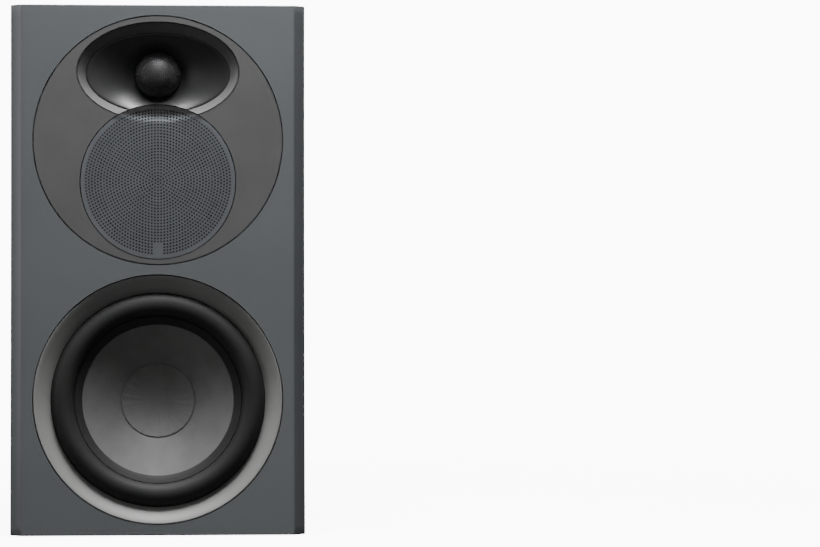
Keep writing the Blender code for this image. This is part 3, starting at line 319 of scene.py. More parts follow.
def addRelief(tree, shader, height, distance, strength=1.0):
    bump = addNode(tree, "ShaderNodeBump", {"Distance": distance, "Strength": strength}, {"Height": height})
    tree.links.new(bump.outputs["Normal"], shader.inputs["Normal"])


def grained(name, first, second, roughness, grain, bump, metallic=0.0, patch=40.0, **sockets):
    # a surface with a fine even grain, whose shade wanders a little over a few centimetres
    # roughness is (least, most), grain and patch are in mm, bump in metres
    made, tree, shader, where = startMaterial(name, first, sum(roughness) / 2, metallic, **sockets)
    fine = addNode(tree, "ShaderNodeTexNoise", {"Scale": perMetre(grain), "Detail": 3.0}, {"Vector": where})
    broad = addNode(tree, "ShaderNodeTexNoise", {"Scale": perMetre(patch), "Detail": 2.0}, {"Vector": where})
    tintBetween(tree, shader, broad.outputs["Fac"], first, second)
    roughBetween(tree, shader, fine.outputs["Fac"], *roughness)
    addRelief(tree, shader, fine.outputs["Fac"], bump)
    return made


def slateLacquer():
    # sprayed and rubbed polyurethane on HDF: even slate grey, soft sheen, faint orange peel
    made, tree, shader, where = startMaterial("satin slate lacquer", "#5D6163", 0.36, Coat_Weight=0.25,
                                              Coat_Roughness=0.22)
    peel = addNode(tree, "ShaderNodeTexNoise", {"Scale": perMetre(2.2), "Detail": 1.0}, {"Vector": where})
    broad = addNode(tree, "ShaderNodeTexNoise", {"Scale": perMetre(120), "Detail": 2.0}, {"Vector": where})
    tintBetween(tree, shader, broad.outputs["Fac"], "#5B5F61", "#5F6365")
    roughBetween(tree, shader, peel.outputs["Fac"], 0.33, 0.40)
    addRelief(tree, shader, peel.outputs["Fac"], 0.00002)
    return made


def wovenCloth(name, first, second, thread):
    # plain weave: two crossing sets of threads
    made, tree, shader, where = startMaterial(name, first, 0.9, Sheen_Weight=0.2)
    parts = addNode(tree, "ShaderNodeSeparateXYZ", links={"Vector": where})
    waves = []
    for axis in ("X", "Z"):
        scaled = addNode(tree, "ShaderNodeMath", {"operation": "MULTIPLY", 1: 2 * math.pi * perMetre(thread)},
                         {0: parts.outputs[axis]})
        waves.append(addNode(tree, "ShaderNodeMath", {"operation": "SINE"}, {0: scaled.outputs[0]}))
    weave = addNode(tree, "ShaderNodeMath", {"operation": "MULTIPLY"},
                    {0: waves[0].outputs[0], 1: waves[1].outputs[0]})
    tintBetween(tree, shader, weave.outputs[0], first, second, (0.0, 0.8))
    addRelief(tree, shader, weave.outputs[0], 0.0001)
    return made


def woundWire(name):
    # enamelled copper wound turn by turn: fine even lines along the axis
    # the bands come 1.6 mm apart, about three times the real wire, so that they show
    made, tree, shader, where = startMaterial(name, "#B8683C", 0.32, 1.0)
    lines = addNode(tree, "ShaderNodeTexWave", {"bands_direction": "Y", "Scale": perMetre(0.5) / 10,
                                                "Distortion": 0.4}, {"Vector": where})
    tintBetween(tree, shader, lines.outputs["Fac"], "#8A4526", "#C97B4A")
    addRelief(tree, shader, lines.outputs["Fac"], 0.0001)
    return made


def paintShadeUpward(made, start, stop, dark):
    # paints shade: the colour falls off to a dark one between two heights
    tree = made.node_tree
    base = tree.nodes["Principled BSDF"].inputs["Base Color"]
    source = base.links[0].from_socket
    where = addNode(tree, "ShaderNodeTexCoord").outputs["Object"]
    parts = addNode(tree, "ShaderNodeSeparateXYZ", links={"Vector": where})
    share = addNode(tree, "ShaderNodeMapRange",
                    {"interpolation_type": "SMOOTHSTEP", "From Min": start, "From Max": stop},
                    {"Value": parts.outputs["Z"]})
    # the near black mixed in here is painted shade
    mix = addNode(tree, "ShaderNodeMix", {"data_type": "RGBA", 7: colour(dark)},
                  {0: share.outputs["Result"], 6: source})
    tree.links.new(mix.outputs[2], base)


materials = {
    "lacquer": slateLacquer(),
    # injection moulded ABS, fine spark finish: neutral grey, nearly matt
    "fascia": grained("spark finished ABS", "#565656", "#5A5A5A", (0.46, 0.56), 0.5, 0.00001),
    # injection moulded ABS, black and smoother, so it holds a soft highlight
    "horn": grained("satin black ABS", "#2A2A2B", "#2E2E2F", (0.34, 0.42), 0.6, 0.000006,
                    Specular_IOR_Level=0.6),
    # perforated steel sheet, electro coated: an even grey paint that is nearly matt
    "grille": grained("coated perforated steel", "#606367", "#65686C", (0.60, 0.70), 0.4, 0.000006,
                      Specular_IOR_Level=0.1),
    # pressed steel dome, black coated: darker than the sheet, with a soft highlight at its top
    "ballGrille": grained("black coated steel", "#515152", "#565657", (0.42, 0.50), 0.4, 0.000006, 0.3),
    # blasted and painted aluminium: an even pale grey with a broad soft highlight
    "ring": grained("blasted aluminium", "#868685", "#8C8C8B", (0.52, 0.60), 0.35, 0.000008, 0.2),
    # moulded butyl rubber: nearly black with a broad dull highlight
    "rubber": grained("butyl rubber", "#252525", "#2A2A2A", (0.58, 0.68), 0.5, 0.00001,
                      Specular_IOR_Level=0.3),
    # paper pulp with a dark damping coat: matt, slightly fibrous
    "pulp": grained("coated paper pulp", "#666666", "#6C6C6C", (0.50, 0.62), 0.9, 0.00002, patch=15.0),
    # coated silk: black, with a faint cloth sheen
    "silk": grained("coated silk", "#1C1C1C", "#242424", (0.45, 0.6), 0.3, 0.00001, Sheen_Weight=0.2),
    # sand cast aluminium: dull and lightly pitted
    "casting": grained("cast aluminium", "#8C8C8E", "#9A9A9B", (0.45, 0.6), 1.2, 0.00006, 1.0),
    # turned steel, zinc plated: bright, slightly warm metal
    "steel": grained("zinc plated steel", "#B8B6AE", "#C6C4BC", (0.25, 0.38), 2.0, 0.00001, 1.0),
    # sintered ferrite: charcoal, gritty
    "ferrite": grained("sintered ferrite", "#35353A", "#3F3F44", (0.6, 0.75), 0.6, 0.00004),
    "copper": woundWire("enamelled copper wire"),
    "cloth": wovenCloth("phenolic dipped cotton", "#A9834F", "#C9A56E", 0.9),
    # injection moulded ABS, coarser spark finish: black and matt
    "black_plastic": grained("black ABS", "#1D1D1E", "#232324", (0.38, 0.5), 0.7, 0.00003),
    # turned brass, nickelled: smooth and mirror bright
    "chrome": grained("nickelled brass", "#C9C8C4", "#D2D1CE", (0.12, 0.2), 1.5, 0.000004, 1.0),
    # pressed laminate: green, with a low gloss
    "board": grained("glass epoxy laminate", "#1E5A34", "#27683D", (0.35, 0.5), 0.8, 0.00002),
    # cast cement case: off white and chalky
    "ceramic": grained("cement case", "#D8D5CB", "#E2DFD6", (0.7, 0.85), 0.8, 0.00005),
    # needled polyester fibre: white, with a soft bright edge
    "wadding": grained("polyester wadding", "#DADAD6", "#EEEEEA", (0.9, 1.0), 2.5, 0.0012, Sheen_Weight=0.4),
    # the same pulp and casting made near black as painted shade, so that what lies behind the midrange grille shows
    # through its holes as shade; the same pulp and casting, blackened so that they don't show through the midrange
    # grille
    "shadeBlackPulp": grained("pulp darkened as painted shade", "#0E0E0E", "#121212", (0.70, 0.80), 0.9, 0.00002),
    "shadeBlackCasting": grained("casting darkened as painted shade", "#101010", "#141414", (0.55, 0.65), 0.8, 0.00003),
}
# painted shade: the sheet's colour darkens to near black where it runs down into the horn, standing in for the
# shadow and dark reflections there
paintedShadeAbove = {"start": midZ + 0.0470, "stop": midZ + 0.0555, "dark": "#08080A"}
paintShadeUpward(materials["grille"], **paintedShadeAbove)
slotOf = {entry["node"]: entry["material_slot"] for entry in frame["record"]["subparts"]}
# the midrange cone, dust cap and basket take the near black copies: painted shade behind the grille
shadedBehindGrille = {"midrange_cone": "shadeBlackPulp", "midrange_dust_cap": "shadeBlackPulp", "midrange_basket": "shadeBlackCasting"}
for name, node in nodes.items():
    node.data.materials.clear()
    node.data.materials.append(materials[shadedBehindGrille.get(name, slotOf[name])])
print("materials made:", len(materials))


squareOn = 0.985  # a face this near to square to an axis counts as facing along it


def finishPiece(piece, slot, body, replaced, angle=32, material=None, flatAlong=""):
    smooth(piece, angle)
    # wide faces square to these axes are shaded flat, so a rounded edge beside them can't tint them;
    # the front's curved strips turn so little from one to the next that they look even as they are
    for face in piece.data.polygons:
        if any(abs(getattr(face.normal, axis)) > squareOn for axis in flatAlong):
            face.use_smooth = False
    piece.data.materials.clear()
    piece.data.materials.append(material or materials[slot])
    if body:
        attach(piece, body)
    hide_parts(*replaced)


# camera, light and floor

studio = {
    "lens": 158.2,
    "distance": 2.9,         # from the waist of the front
    "aimRight": 4.0,         # degrees, so that the speaker stands left in the picture
    "aimDown": 0.052,
    # a small lamp close above the front, which shades the horn and the bowl of the woofer
    "keyPlace": (0.06, -0.31, 1.08), "keySize": 0.42, "keyPower": 22.5,
    "fillPlace": (0.55, -2.6, 0.9), "fillSize": 1.6, "fillPower": 6.0,
    "sidePlace": (-1.3, -0.45, 0.55), "sideSize": 0.9, "sidePower": 5.0,
    # these two only reach the sides and the back
    "backPlaces": ((-1.5, 1.5, 1.0), (1.3, 1.7, 0.8)), "backSize": 1.0, "backPower": 26.0,
    "lightAim": 0.7,         # share of the waist's height that the lamps point at
    "skyLight": 0.05,        # what the backdrop throws on the speaker
    "white": 11.0, "nearWhite": 9.0,  # how bright the backdrop and the near floor show
    "floorSize": 60.0, "floorFade": (0.45, 1.8),
}


def placeCamera():
    turned = (math.radians(90 - studio["aimDown"]), 0, -math.radians(studio["aimRight"]))
    middle = (cadBox[0][2] + cadBox[1][2]) / 2
    bpy.ops.object.camera_add(location=(0, waistY - studio["distance"], middle), rotation=turned)
    camera = bpy.context.object
    camera.data.lens = studio["lens"]
    camera.data.sensor_width = 36
    camera.data.clip_end = 100
    bpy.context.scene.camera = camera


def placeLight(name, place, size, power):
    target = Vector((0, waistY, waistZ * studio["lightAim"]))
    turned = (target - Vector(place)).to_track_quat("-Z", "Y").to_euler()
    bpy.ops.object.light_add(type="AREA", location=place, rotation=turned)
    light = bpy.context.object
    light.name = name
    light.data.shape = "SQUARE"
    light.data.size = size
    light.data.energy = power


def placeFloor():
    pickNothing()
    bpy.ops.mesh.primitive_plane_add(size=studio["floorSize"])
    floor = bpy.context.object
    floor.name = "floor"
    made, tree, shader, where = startMaterial("matt white paper", "#F4F4F4", 0.9)
    # far from the speaker the paper is as white as the backdrop, so no horizon shows
    length = addNode(tree, "ShaderNodeVectorMath", {"operation": "LENGTH"}, {0: where})
    near, far = studio["floorFade"]
    fade = addNode(tree, "ShaderNodeMapRange",
                   {"interpolation_type": "SMOOTHSTEP", "From Min": near, "From Max": far},
                   {"Value": length.outputs["Value"]})
    glow = addNode(tree, "ShaderNodeEmission", {"Strength": studio["white"]})
    lift = addNode(tree, "ShaderNodeEmission", {"Strength": studio["nearWhite"]})
    lifted = addNode(tree, "ShaderNodeAddShader", links={0: shader.outputs[0], 1: lift.outputs[0]})
    mix = addNode(tree, "ShaderNodeMixShader", links={0: fade.outputs["Result"], 1: lifted.outputs[0],
                                                      2: glow.outputs[0]})
    # it throws little light back up, as a floor well away from the lamps
    dark = addNode(tree, "ShaderNodeBsdfDiffuse", {"Color": colour("#3A3A3A")})
    seen = addNode(tree, "ShaderNodeLightPath").outputs["Is Camera Ray"]
    shown = addNode(tree, "ShaderNodeMixShader", links={0: seen, 1: dark.outputs[0], 2: mix.outputs[0]})
    tree.links.new(shown.outputs[0], tree.nodes["Material Output"].inputs["Surface"])
    floor.data.materials.append(made)


def lightWorld():
    world = bpy.data.worlds.new("white studio")
    bpy.context.scene.world = world
    world.use_nodes = True
    tree = world.node_tree
    shader = tree.nodes["Background"]
    seen = addNode(tree, "ShaderNodeLightPath").outputs["Is Camera Ray"]
    level = addNode(tree, "ShaderNodeMapRange", {"To Min": studio["skyLight"], "To Max": studio["white"]},
                    {"Value": seen})
    shader.inputs["Color"].default_value = (1, 1, 1, 1)
    tree.links.new(level.outputs["Result"], shader.inputs["Strength"])


placeCamera()
for name in ("key", "fill", "side"):
    placeLight(name, studio[name + "Place"], studio[name + "Size"], studio[name + "Power"])
for place in studio["backPlaces"]:
    placeLight("back", place, studio["backSize"], studio["backPower"])
placeFloor()
lightWorld()
print("studio set")


# cabinet

def block(name, lowCorner, highCorner):
    pickNothing()
    centre = (Vector(lowCorner) + Vector(highCorner)) / 2
    size = Vector(highCorner) - Vector(lowCorner)
    bpy.ops.mesh.primitive_cube_add(size=1, location=centre)
    made = bpy.context.object
    made.name = name
    made.scale = size
    bpy.ops.object.transform_apply(location=True, rotation=True, scale=True)
    return made


def hollowBlock(name, half, rear, setBack=0.0):
    # a block whose front follows the cabinet's arc, moved back by setBack
    made = block(name, (-half, waistY, baseZ), (half, rear, topZ))
    startEditing(made)
    count = cabinet["slices"]
    levels = [baseZ + (topZ - baseZ) * i / count for i in range(count + 1)]
    for level in levels[1:-1]:
        bpy.ops.mesh.select_all(action="SELECT")
        bpy.ops.mesh.bisect(plane_co=(0, 0, level), plane_no=(0, 0, 1))
    for level in levels:
        selectVertices(made, lambda at: abs(at.z - level) < 0.0005 and at.y < waistY + 0.0005)
        bpy.ops.transform.translate(value=(0, frontAt(level) + setBack - waistY, 0))
    stopEditing()
    return made


def makeCabinet():
    w, u, fit = woofer, upper, cabinet["fit"]
    shell = hollowBlock("cabinetShell", halfWidth, backY)
    startEditing(shell, "EDGE")
    selectEdges(shell, lambda a, b: abs(a.x - b.x) < 0.001 and abs(a.z - b.z) > 0.001
                and (a.y < waistY + 0.001 or a.y > backY - 0.001))
    bpy.ops.mesh.bevel(offset=cabinet["chamfer"], segments=1, affect="EDGES")
    stopEditing()
    roundEdges(shell, cabinet["edgeRound"], 3, 20)
    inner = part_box("right_side_panel")[0][0]
    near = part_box("right_side_panel")[0][1]
    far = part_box("back_panel")[0][1]
    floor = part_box("bottom_panel")[1][2]
    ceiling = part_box("top_panel")[0][2]
    carve(shell, block("cavity", (-inner, near, floor), (inner, far, ceiling)))
    # the woofer's recess and hole
    carveAt(shell, rod("wooferCut", w["ring"] + w["ringGap"], -w["recess"], 0.02, w["sides"]), wooferPlace)
    carveAt(shell, rod("wooferCut", w["hole"], -0.08, 0.01, w["sides"]), wooferPlace)
    # the round plate's recess, with the holes for the midrange and the horn in its floor
    around = [size + u["hornRoom"] for size in u["mouth"]]
    rise = baseZ + u["mouthHeight"] - plateZ
    plateCut = rod("plateCut", u["plate"] + u["plateGap"], -u["plateDepth"] - fit, 0.02, u["sides"])
    midrangeCut = rod("midrangeCut", u["grille"] + u["grilleRoom"], -0.05, 0, u["sides"], midZ - plateZ)
    hornCut = drawRings("hornCut", [(*around, rise, -0.05), (*around, rise, 0)], u["sides"], "capped")
    for tool in (plateCut, midrangeCut, hornCut):
        carveAt(shell, tool, platePlace)
    makeBackCuts(shell)
    for name in footNodes:
        start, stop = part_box(name)
        x, y = (start[0] + stop[0]) / 2, (start[1] + stop[1]) / 2
        tool = rod("footCut", (stop[0] - start[0]) / 2 + fit, -0.002, stop[2] + fit, 48)
        carveAt(shell, tool, Matrix.Translation((x, y, 0)))
    replaced = ["front_baffle", "left_side_panel", "right_side_panel", "top_panel", "bottom_panel", "back_panel"]
    finishPiece(shell, "lacquer", "root", replaced, 25, flatAlong="xyz")
    print("cabinet made")


footNodes = [name for name in nodes if name.startswith("foot_")]
port = {
    "height": 0.330, "bore": 0.025, "mouth": 0.036, "flange": 0.040, "thickness": 0.003, "wall": 0.0025,
    "length": 0.110, "edge": 0.0004, "gap": 0.0004, "mouthWall": 0.0005, "mouthGap": 0.0009, "sides": 128,
}
cup = {
    "height": 0.132, "half": (0.050, 0.037), "rim": 0.011, "thickness": 0.0028, "depth": 0.014, "wall": 0.0025,
    "collar": 0.0072, "collarHeight": 0.004, "collarEdge": 0.0008, "stud": 0.0033,
    "corner": 0.006, "pocketCorner": 0.008, "edge": 0.0005, "gap": 0.0004,
}
portPlace = facing(baseZ + port["height"], backY, rear=True)
cupPlace = facing(baseZ + cup["height"], backY, rear=True)


def roundedSlab(name, halfX, halfY, lowZ, highZ, corner, segments=8):
    slab = block(name, (-halfX, -halfY, lowZ), (halfX, halfY, highZ))
    startEditing(slab, "EDGE")
    selectEdges(slab, lambda a, b: abs(a.z - b.z) > 0.0001)
    bpy.ops.mesh.bevel(offset=corner, segments=segments, affect="EDGES")
    stopEditing()
    return slab


def makeBackCuts(shell):
    p, c, fit = port, cup, cabinet["fit"]
    carveAt(shell, rod("portRecess", p["flange"] + p["gap"], -p["thickness"] - fit, 0.01, p["sides"]), portPlace)
    carveAt(shell, rod("portHole", p["mouth"] + p["mouthGap"], -0.03, 0.01, p["sides"]), portPlace)
    halfX, halfY = [size + c["gap"] for size in c["half"]]
    recess = roundedSlab("cupRecess", halfX + c["rim"], halfY + c["rim"], -c["thickness"] - fit, 0.01,
                         c["corner"] + c["gap"])
    carveAt(shell, recess, cupPlace)
    carveAt(shell, roundedSlab("cupHole", halfX, halfY, -0.03, 0.01, c["pocketCorner"]), cupPlace)


makeCabinet()


footEdge = 0.0006
footDish = {"start": 0.45, "flat": 0.40, "depth": 0.0004}  # hollow in the underside, as shares of the radius


def makeFeet():
    # moulded rubber button with a rounded rim
    for name in footNodes:
        start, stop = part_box(name)
        radius, tall = (stop[0] - start[0]) / 2, stop[2]
        outline = [(0, tall), (radius, tall), (radius, footEdge)]
        outline += bend((radius - footEdge, footEdge), (footEdge, footEdge), 0, -90, 5)[1:]
        outline += [(radius * footDish["start"], 0.0), (radius * footDish["flat"], footDish["depth"]),
                    (0, footDish["depth"])]
        foot = turn(name.replace("foot_", "rubberFoot_"), outline, 64, "poles")
        settle(foot, Matrix.Translation(((start[0] + stop[0]) / 2, (start[1] + stop[1]) / 2, 0)))
        finishPiece(foot, "rubber", "root", [name])


makeFeet()


# woofer

def softPiece(piece, slot, replaced, angle=40):
    # rubber or cloth, finished with no body of its own and its place baked into the mesh
    finishPiece(piece, slot, None, replaced, angle)
    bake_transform(piece)


def corrugations(inner, outer, level, height, waves, thickness, land=0.005):
    # a thin disc pressed into concentric waves, as a closed outline
    rim, steps = outer - land, waves * 8
    tops = [(outer, level)]
    for i in range(steps + 1):
        radius = rim + (inner - rim) * i / steps
        tops.append((radius, level + height / 2 * (1 - math.cos(2 * math.pi * waves * i / steps))))
    return tops + [(radius, z - thickness) for radius, z in reversed(tops)]


def coneLevel(radius):
    # how far the face of the cone lies below the front there
    return woofer["coneRim"] - woofer["coneSlope"] * (woofer["cone"] - radius)


def makeTrimRing():
    # it falls inwards from a small shoulder at its outer edge
    w = woofer
    depth, bore, rim, edge, step = w["ringDepth"], w["ringBore"], w["ring"], w["ringEdge"], w["ringStep"]
    start, stop = rim - w["ringShoulder"], bore + edge
    slope = (depth - w["ringShoulder"]) / (rim - bore)
    outline = [(rim, -depth), (rim, -edge)] + bend((rim - edge, -edge), (edge, edge), 20, 90, 4)
    for share in (0, 0.25, 0.5, 0.75):
        radius = start + (stop - start) * share
        outline.append((radius, -step - slope * (start - radius)))
    outline += [(stop, -depth + w["ringShoulder"]), (bore, -depth + edge + step), (bore, -depth)]
    ring = turn("trimRing", outline, w["sides"])
    settle(ring, wooferPlace)
    finishPiece(ring, "ring", "root", ["woofer_trim_ring"], 25)


def makeRubberRoll():
    w = woofer
    front, rubber, inner, outer = w["flangeLevel"], w["rubber"], w["rollInner"], w["rollOuter"]
    middle, half = (outer + inner) / 2, (outer - inner) / 2
    nick, step, fall = 0.0002, 0.0006, 0.0030  # the fine line inside the roll, and where the lip starts to fall
    lipFront = coneLevel(w["lip"]) + w["glue"] + rubber
    lipSlope = (front - nick - lipFront) / (inner - step - w["lip"])
    over = bend((middle, front), (half, w["rollHeight"]), 0, 180, 22)
    line = [(inner - nick, front - step), (inner - step, front - nick)]
    lip = [(inner - fall, front - nick - lipSlope * (fall - step)), (w["lip"] + 2 * nick, lipFront + nick),
           (w["lip"], lipFront - nick), (w["lip"], lipFront - rubber)]
    under = bend((middle, front - rubber), (half - rubber, w["rollHeight"]), 180, 0, 22)
    outline = [(w["flange"], front), (outer + 0.0008, front)] + over + line + lip
    outline += [(w["cone"] - nick, w["coneRim"] + w["glue"])] + under + [(w["flange"], front - rubber)]
    roll = turn("rubberRoll", outline, w["sides"])
    settle(roll, wooferPlace)
    softPiece(roll, "rubber", ["woofer_surround"])


def makePulpCone():
    w = woofer
    steps = 6
    face = []
    for i in range(steps + 1):
        radius = w["cone"] + (w["cap"] - w["cone"]) * i / steps
        face.append((radius, coneLevel(radius)))
    face.append((w["neck"], neckLevel))
    outline = face + [(radius, level - w["paper"]) for radius, level in reversed(face)]
    cone = turn("pulpCone", outline, w["sides"])
    settle(cone, wooferPlace)
    finishPiece(cone, "pulp", "woofer_cone_assembly", ["woofer_cone"], 40)


def makeDustCap():
    # dished inwards, as deep as capDish at its middle
    w = woofer
    edge, steps = coneLevel(w["cap"]) + w["capLift"], 14
    dish = []
    for i in range(steps + 1):
        share = 1 - i / steps
        dish.append((w["cap"] * share, edge - w["capDish"] * (1 - share ** 2)))
    top = [(radius, level + w["paper"] / 2) for radius, level in dish]
    outline = top[::-1] + [(w["cap"] + 0.0001, edge + w["paper"] / 4)] + dish
    cap = turn("dustCap", outline, 128, "poles")
    settle(cap, wooferPlace)
    finishPiece(cap, "pulp", "woofer_cone_assembly", ["woofer_dust_cap"], 50)


def makeSpider():
    w = woofer
    waves = corrugations(*w["spider"], neckLevel - w["spiderDrop"], w["spiderWave"], w["spiderWaves"], w["cloth"])
    spider = turn("cottonSpider", waves, 96)
    settle(spider, wooferPlace)
    softPiece(spider, "cloth", ["woofer_spider"])


neckLevel = coneLevel(woofer["cap"]) - woofer["neckSlope"] * (woofer["cap"] - woofer["coil"])
makeTrimRing()
makeRubberRoll()
makePulpCone()
makeDustCap()
makeSpider()
print("woofer made")


# plate, horn and grilles

mouthRise = baseZ + upper["mouthHeight"] - plateZ
flareRise = baseZ + upper["flareHeight"] - plateZ
throatRise = tweeterZ - plateZ
midRise = midZ - plateZ


def hornRing(share, grow=0.0, lift=0.0):
    # a ring of the horn's inner surface: share 0 is its mouth, 1 its throat
    wide, tall = [size + (upper["throat"] - size) * share + grow for size in upper["mouth"]]
    straight, curved, power = upper["hornRun"]
    run = straight * share + curved * share ** power
    level = -upper["mouthDepth"] - (upper["throatDepth"] - upper["mouthDepth"]) * run
    return (wide, tall, mouthRise + (throatRise - mouthRise) * share, level + lift)


def makePlate():
    u = upper
    sides = u["sides"]
    plate = rod("waveguidePlate", u["plate"], -u["plateDepth"], 0.01, 256)
    collar = rod("collar", u["grille"] + u["collar"], -u["collarDepth"], -0.001, sides, midRise)
    boss = [size + u["boss"] for size in u["mouth"]]
    bossRings = [(*boss, mouthRise, -u["mouthDepth"] - u["bossDepth"]), (*boss, mouthRise, -0.001)]
    hornBoss = drawRings("hornBoss", bossRings, sides, "capped")
    carve(plate, collar, "UNION")
    carve(plate, hornBoss, "UNION")
    mouth = [size + u["mouthGap"] for size in u["mouth"]]
    flare = u["flare"]
    bowl = drawRings("bowl", [(*flare, flareRise, 0.02), (*flare, flareRise, 0.0),
                              (*mouth, mouthRise, -u["mouthDepth"]), (*mouth, mouthRise, -0.05)], sides, "capped")
    outer, inner = [[size + step for size in flare] for step in u["groove"][:2]]
    depth = -u["groove"][2]
    groove = drawRings("groove", [(*outer, flareRise, 0.02), (*outer, flareRise, depth), (*inner, flareRise, depth),
                                  (*inner, flareRise, 0.02)], sides)
    bore = rod("grilleBore", u["grille"] + u["gap"], -0.03, 0.02, sides, midRise)
    for tool in (bowl, groove, bore):
        carve(plate, tool)
    settle(plate, platePlace)
    carve(plate, hollowBlock("plateFace", halfWidth, backY), "INTERSECT")
    finishPiece(plate, "fascia", "root", ["waveguide_plate"], 28, flatAlong="y")


def makeHorn():
    u = upper
    sides, lip, front, back, bore = u["sides"], u["hornLip"], -u["mouthDepth"], -u["throatDepth"], u["throat"]
    wide, tall = [size - u["mouthGap"] for size in u["mouth"]]
    # round the rim and down to the throat
    rings = [(wide, tall, mouthRise, front - 0.0022), (wide, tall, mouthRise, front - 0.0001),
             (wide - 0.0001, tall - 0.0001, mouthRise, front), (wide - lip, tall - lip, mouthRise, front),
             hornRing(0.012, -0.0001, -0.0003)]
    rings += [hornRing(i / 20) for i in range(1, 21)]
    # and back up behind the wall
    rear, behind = bore + 0.004, 0.0036
    rings += [(bore, bore, throatRise, back - 0.0030), (rear, rear, throatRise, back - 0.0032),
              (0.032, rear + 0.001, throatRise, back - 0.0015),
              (0.046, rear + 0.006, (mouthRise + throatRise) / 2, back + 0.003),
              (wide + behind, tall + behind, mouthRise, front - 0.0045),
              (wide + behind, tall + behind, mouthRise, front - 0.0024)]
    horn = drawRings("tweeterHorn", rings, sides)
    carve(horn, rod("hornRelief", u["grille"] + u["gap"], -0.05, 0.02, sides, midRise))
    settle(horn, platePlace)
    finishPiece(horn, "horn", "root", ["tweeter_horn"], 30)


perforation = {
    "hole": 0.00080, "pitch": 0.00241, "rings": 24, "pinSides": 8,
    "blankHalf": 0.0036, "blankRings": 20,  # small blank field at the foot
    "columns": 104, "rows": 132, "crowding": 0.28,  # rows stand closer together near the top
    "crease": 0.0022,        # how softly the sheet bends into the horn
    "lift": 0.00005,
}


aboveFlare = -0.3  # share at which the flare, carried on outwards, stops


def bowlDepth(x, up):
    # how deep the flare and the horn lie below the waist plane, from the plate's centre
    if ringSize(flareRing(aboveFlare), x, up) > 1:
        return aboveFlare * upper["mouthDepth"]
    start, stop = aboveFlare, 2.0
    for _ in range(26):
        half = (start + stop) / 2
        ring = flareRing(half) if half < 1 else hornRing(half - 1)
        if ringSize(ring, x, up) > 1:
            stop = half
        else:
            start = half
    return -(flareRing(start) if start < 1 else hornRing(start - 1))[3]


def flareRing(share):
    wide, tall = [a + (b - a) * share for a, b in zip(upper["flare"], upper["mouth"])]
    return (wide, tall, flareRise + (mouthRise - flareRise) * share, -upper["mouthDepth"] * share)


def ringSize(ring, x, up):
    return (x / ring[0]) ** 2 + ((up - ring[2]) / ring[1]) ** 2


def softMax(a, b, blend):
    share = min(max(0.5 + 0.5 * (a - b) / blend, 0), 1)
    return b + (a - b) * share + blend * share * (1 - share)


def pinField(name, places, radius, length, sides):
    # one pin modelled once, then a copy for each hole, joined into a single cutter
    pickNothing()
    bpy.ops.mesh.primitive_cylinder_add(vertices=sides, radius=radius, depth=length)
    pin = bpy.context.object
    copies = []
    for place in places:
        copy = pin.copy()
        copy.data = pin.data.copy()
        copy.matrix_world = place
        bpy.context.collection.objects.link(copy)
        copies.append(copy)
    bpy.data.objects.remove(pin, do_unlink=True)
    for copy in copies:
        copy.select_set(True)
    bpy.context.view_layer.objects.active = copies[0]
    bpy.ops.object.join()
    field = bpy.context.object
    field.name = name
    pickOnly(field)
    bpy.ops.object.transform_apply(location=True, rotation=True, scale=True)
    return field


def ringPlaces(rings):
    # one place at the middle, then six more in each ring; gives the ring's number and the angle
    return [(ring, 2 * math.pi * i / max(6 * ring, 1)) for ring in range(rings + 1) for i in range(max(6 * ring, 1))]


def makeMidrangeGrille():
    u, p = upper, perforation
    pickNothing()
    bpy.ops.mesh.primitive_grid_add(x_subdivisions=p["columns"], y_subdivisions=p["rows"], size=2)
    sheet = bpy.context.object
    sheet.name = "midrangeGrille"
    reach = u["grille"] + 0.002
    for vertex in sheet.data.vertices:
        across, along = vertex.co.x * reach, vertex.co.y
        up = (along + p["crowding"] * (1 - along * along)) * reach + midRise
        sag = (plateZ + up - waistZ) ** 2 / (2 * cabinet["arcRadius"])
        depth = softMax(-sag, bowlDepth(across, up), p["crease"])
        vertex.co = (across, up, -depth - p["lift"])
    applyModifier(sheet, "SOLIDIFY", thickness=u["grilleSheet"], offset=-1)
    carve(sheet, rod("disc", u["grille"], -0.04, 0.02, u["sides"], midRise), "INTERSECT")
    places = []
    for ring, around in ringPlaces(p["rings"]):
        x, y = ring * p["pitch"] * math.sin(around), -ring * p["pitch"] * math.cos(around)
        if ring > p["blankRings"] and abs(x) < p["blankHalf"] and y < 0:
            continue
        places.append(Matrix.Translation((x, y + midRise, -0.01)) @ Matrix.Rotation(around, 4, "Z"))
    carve(sheet, pinField("holes", places, p["hole"], 0.06, p["pinSides"]))
    settle(sheet, platePlace)
    finishPiece(sheet, "grille", "root", ["midrange_grille"], 35)
    print("midrange grille perforated:", len(places), "holes")


ball = {
    "radius": 0.0190, "rim": 0.0186, "wall": 0.0008, "foot": 0.0030,
    "hole": 0.00064, "pitch": 0.00160, "rings": 11, "pinSides": 8,
}


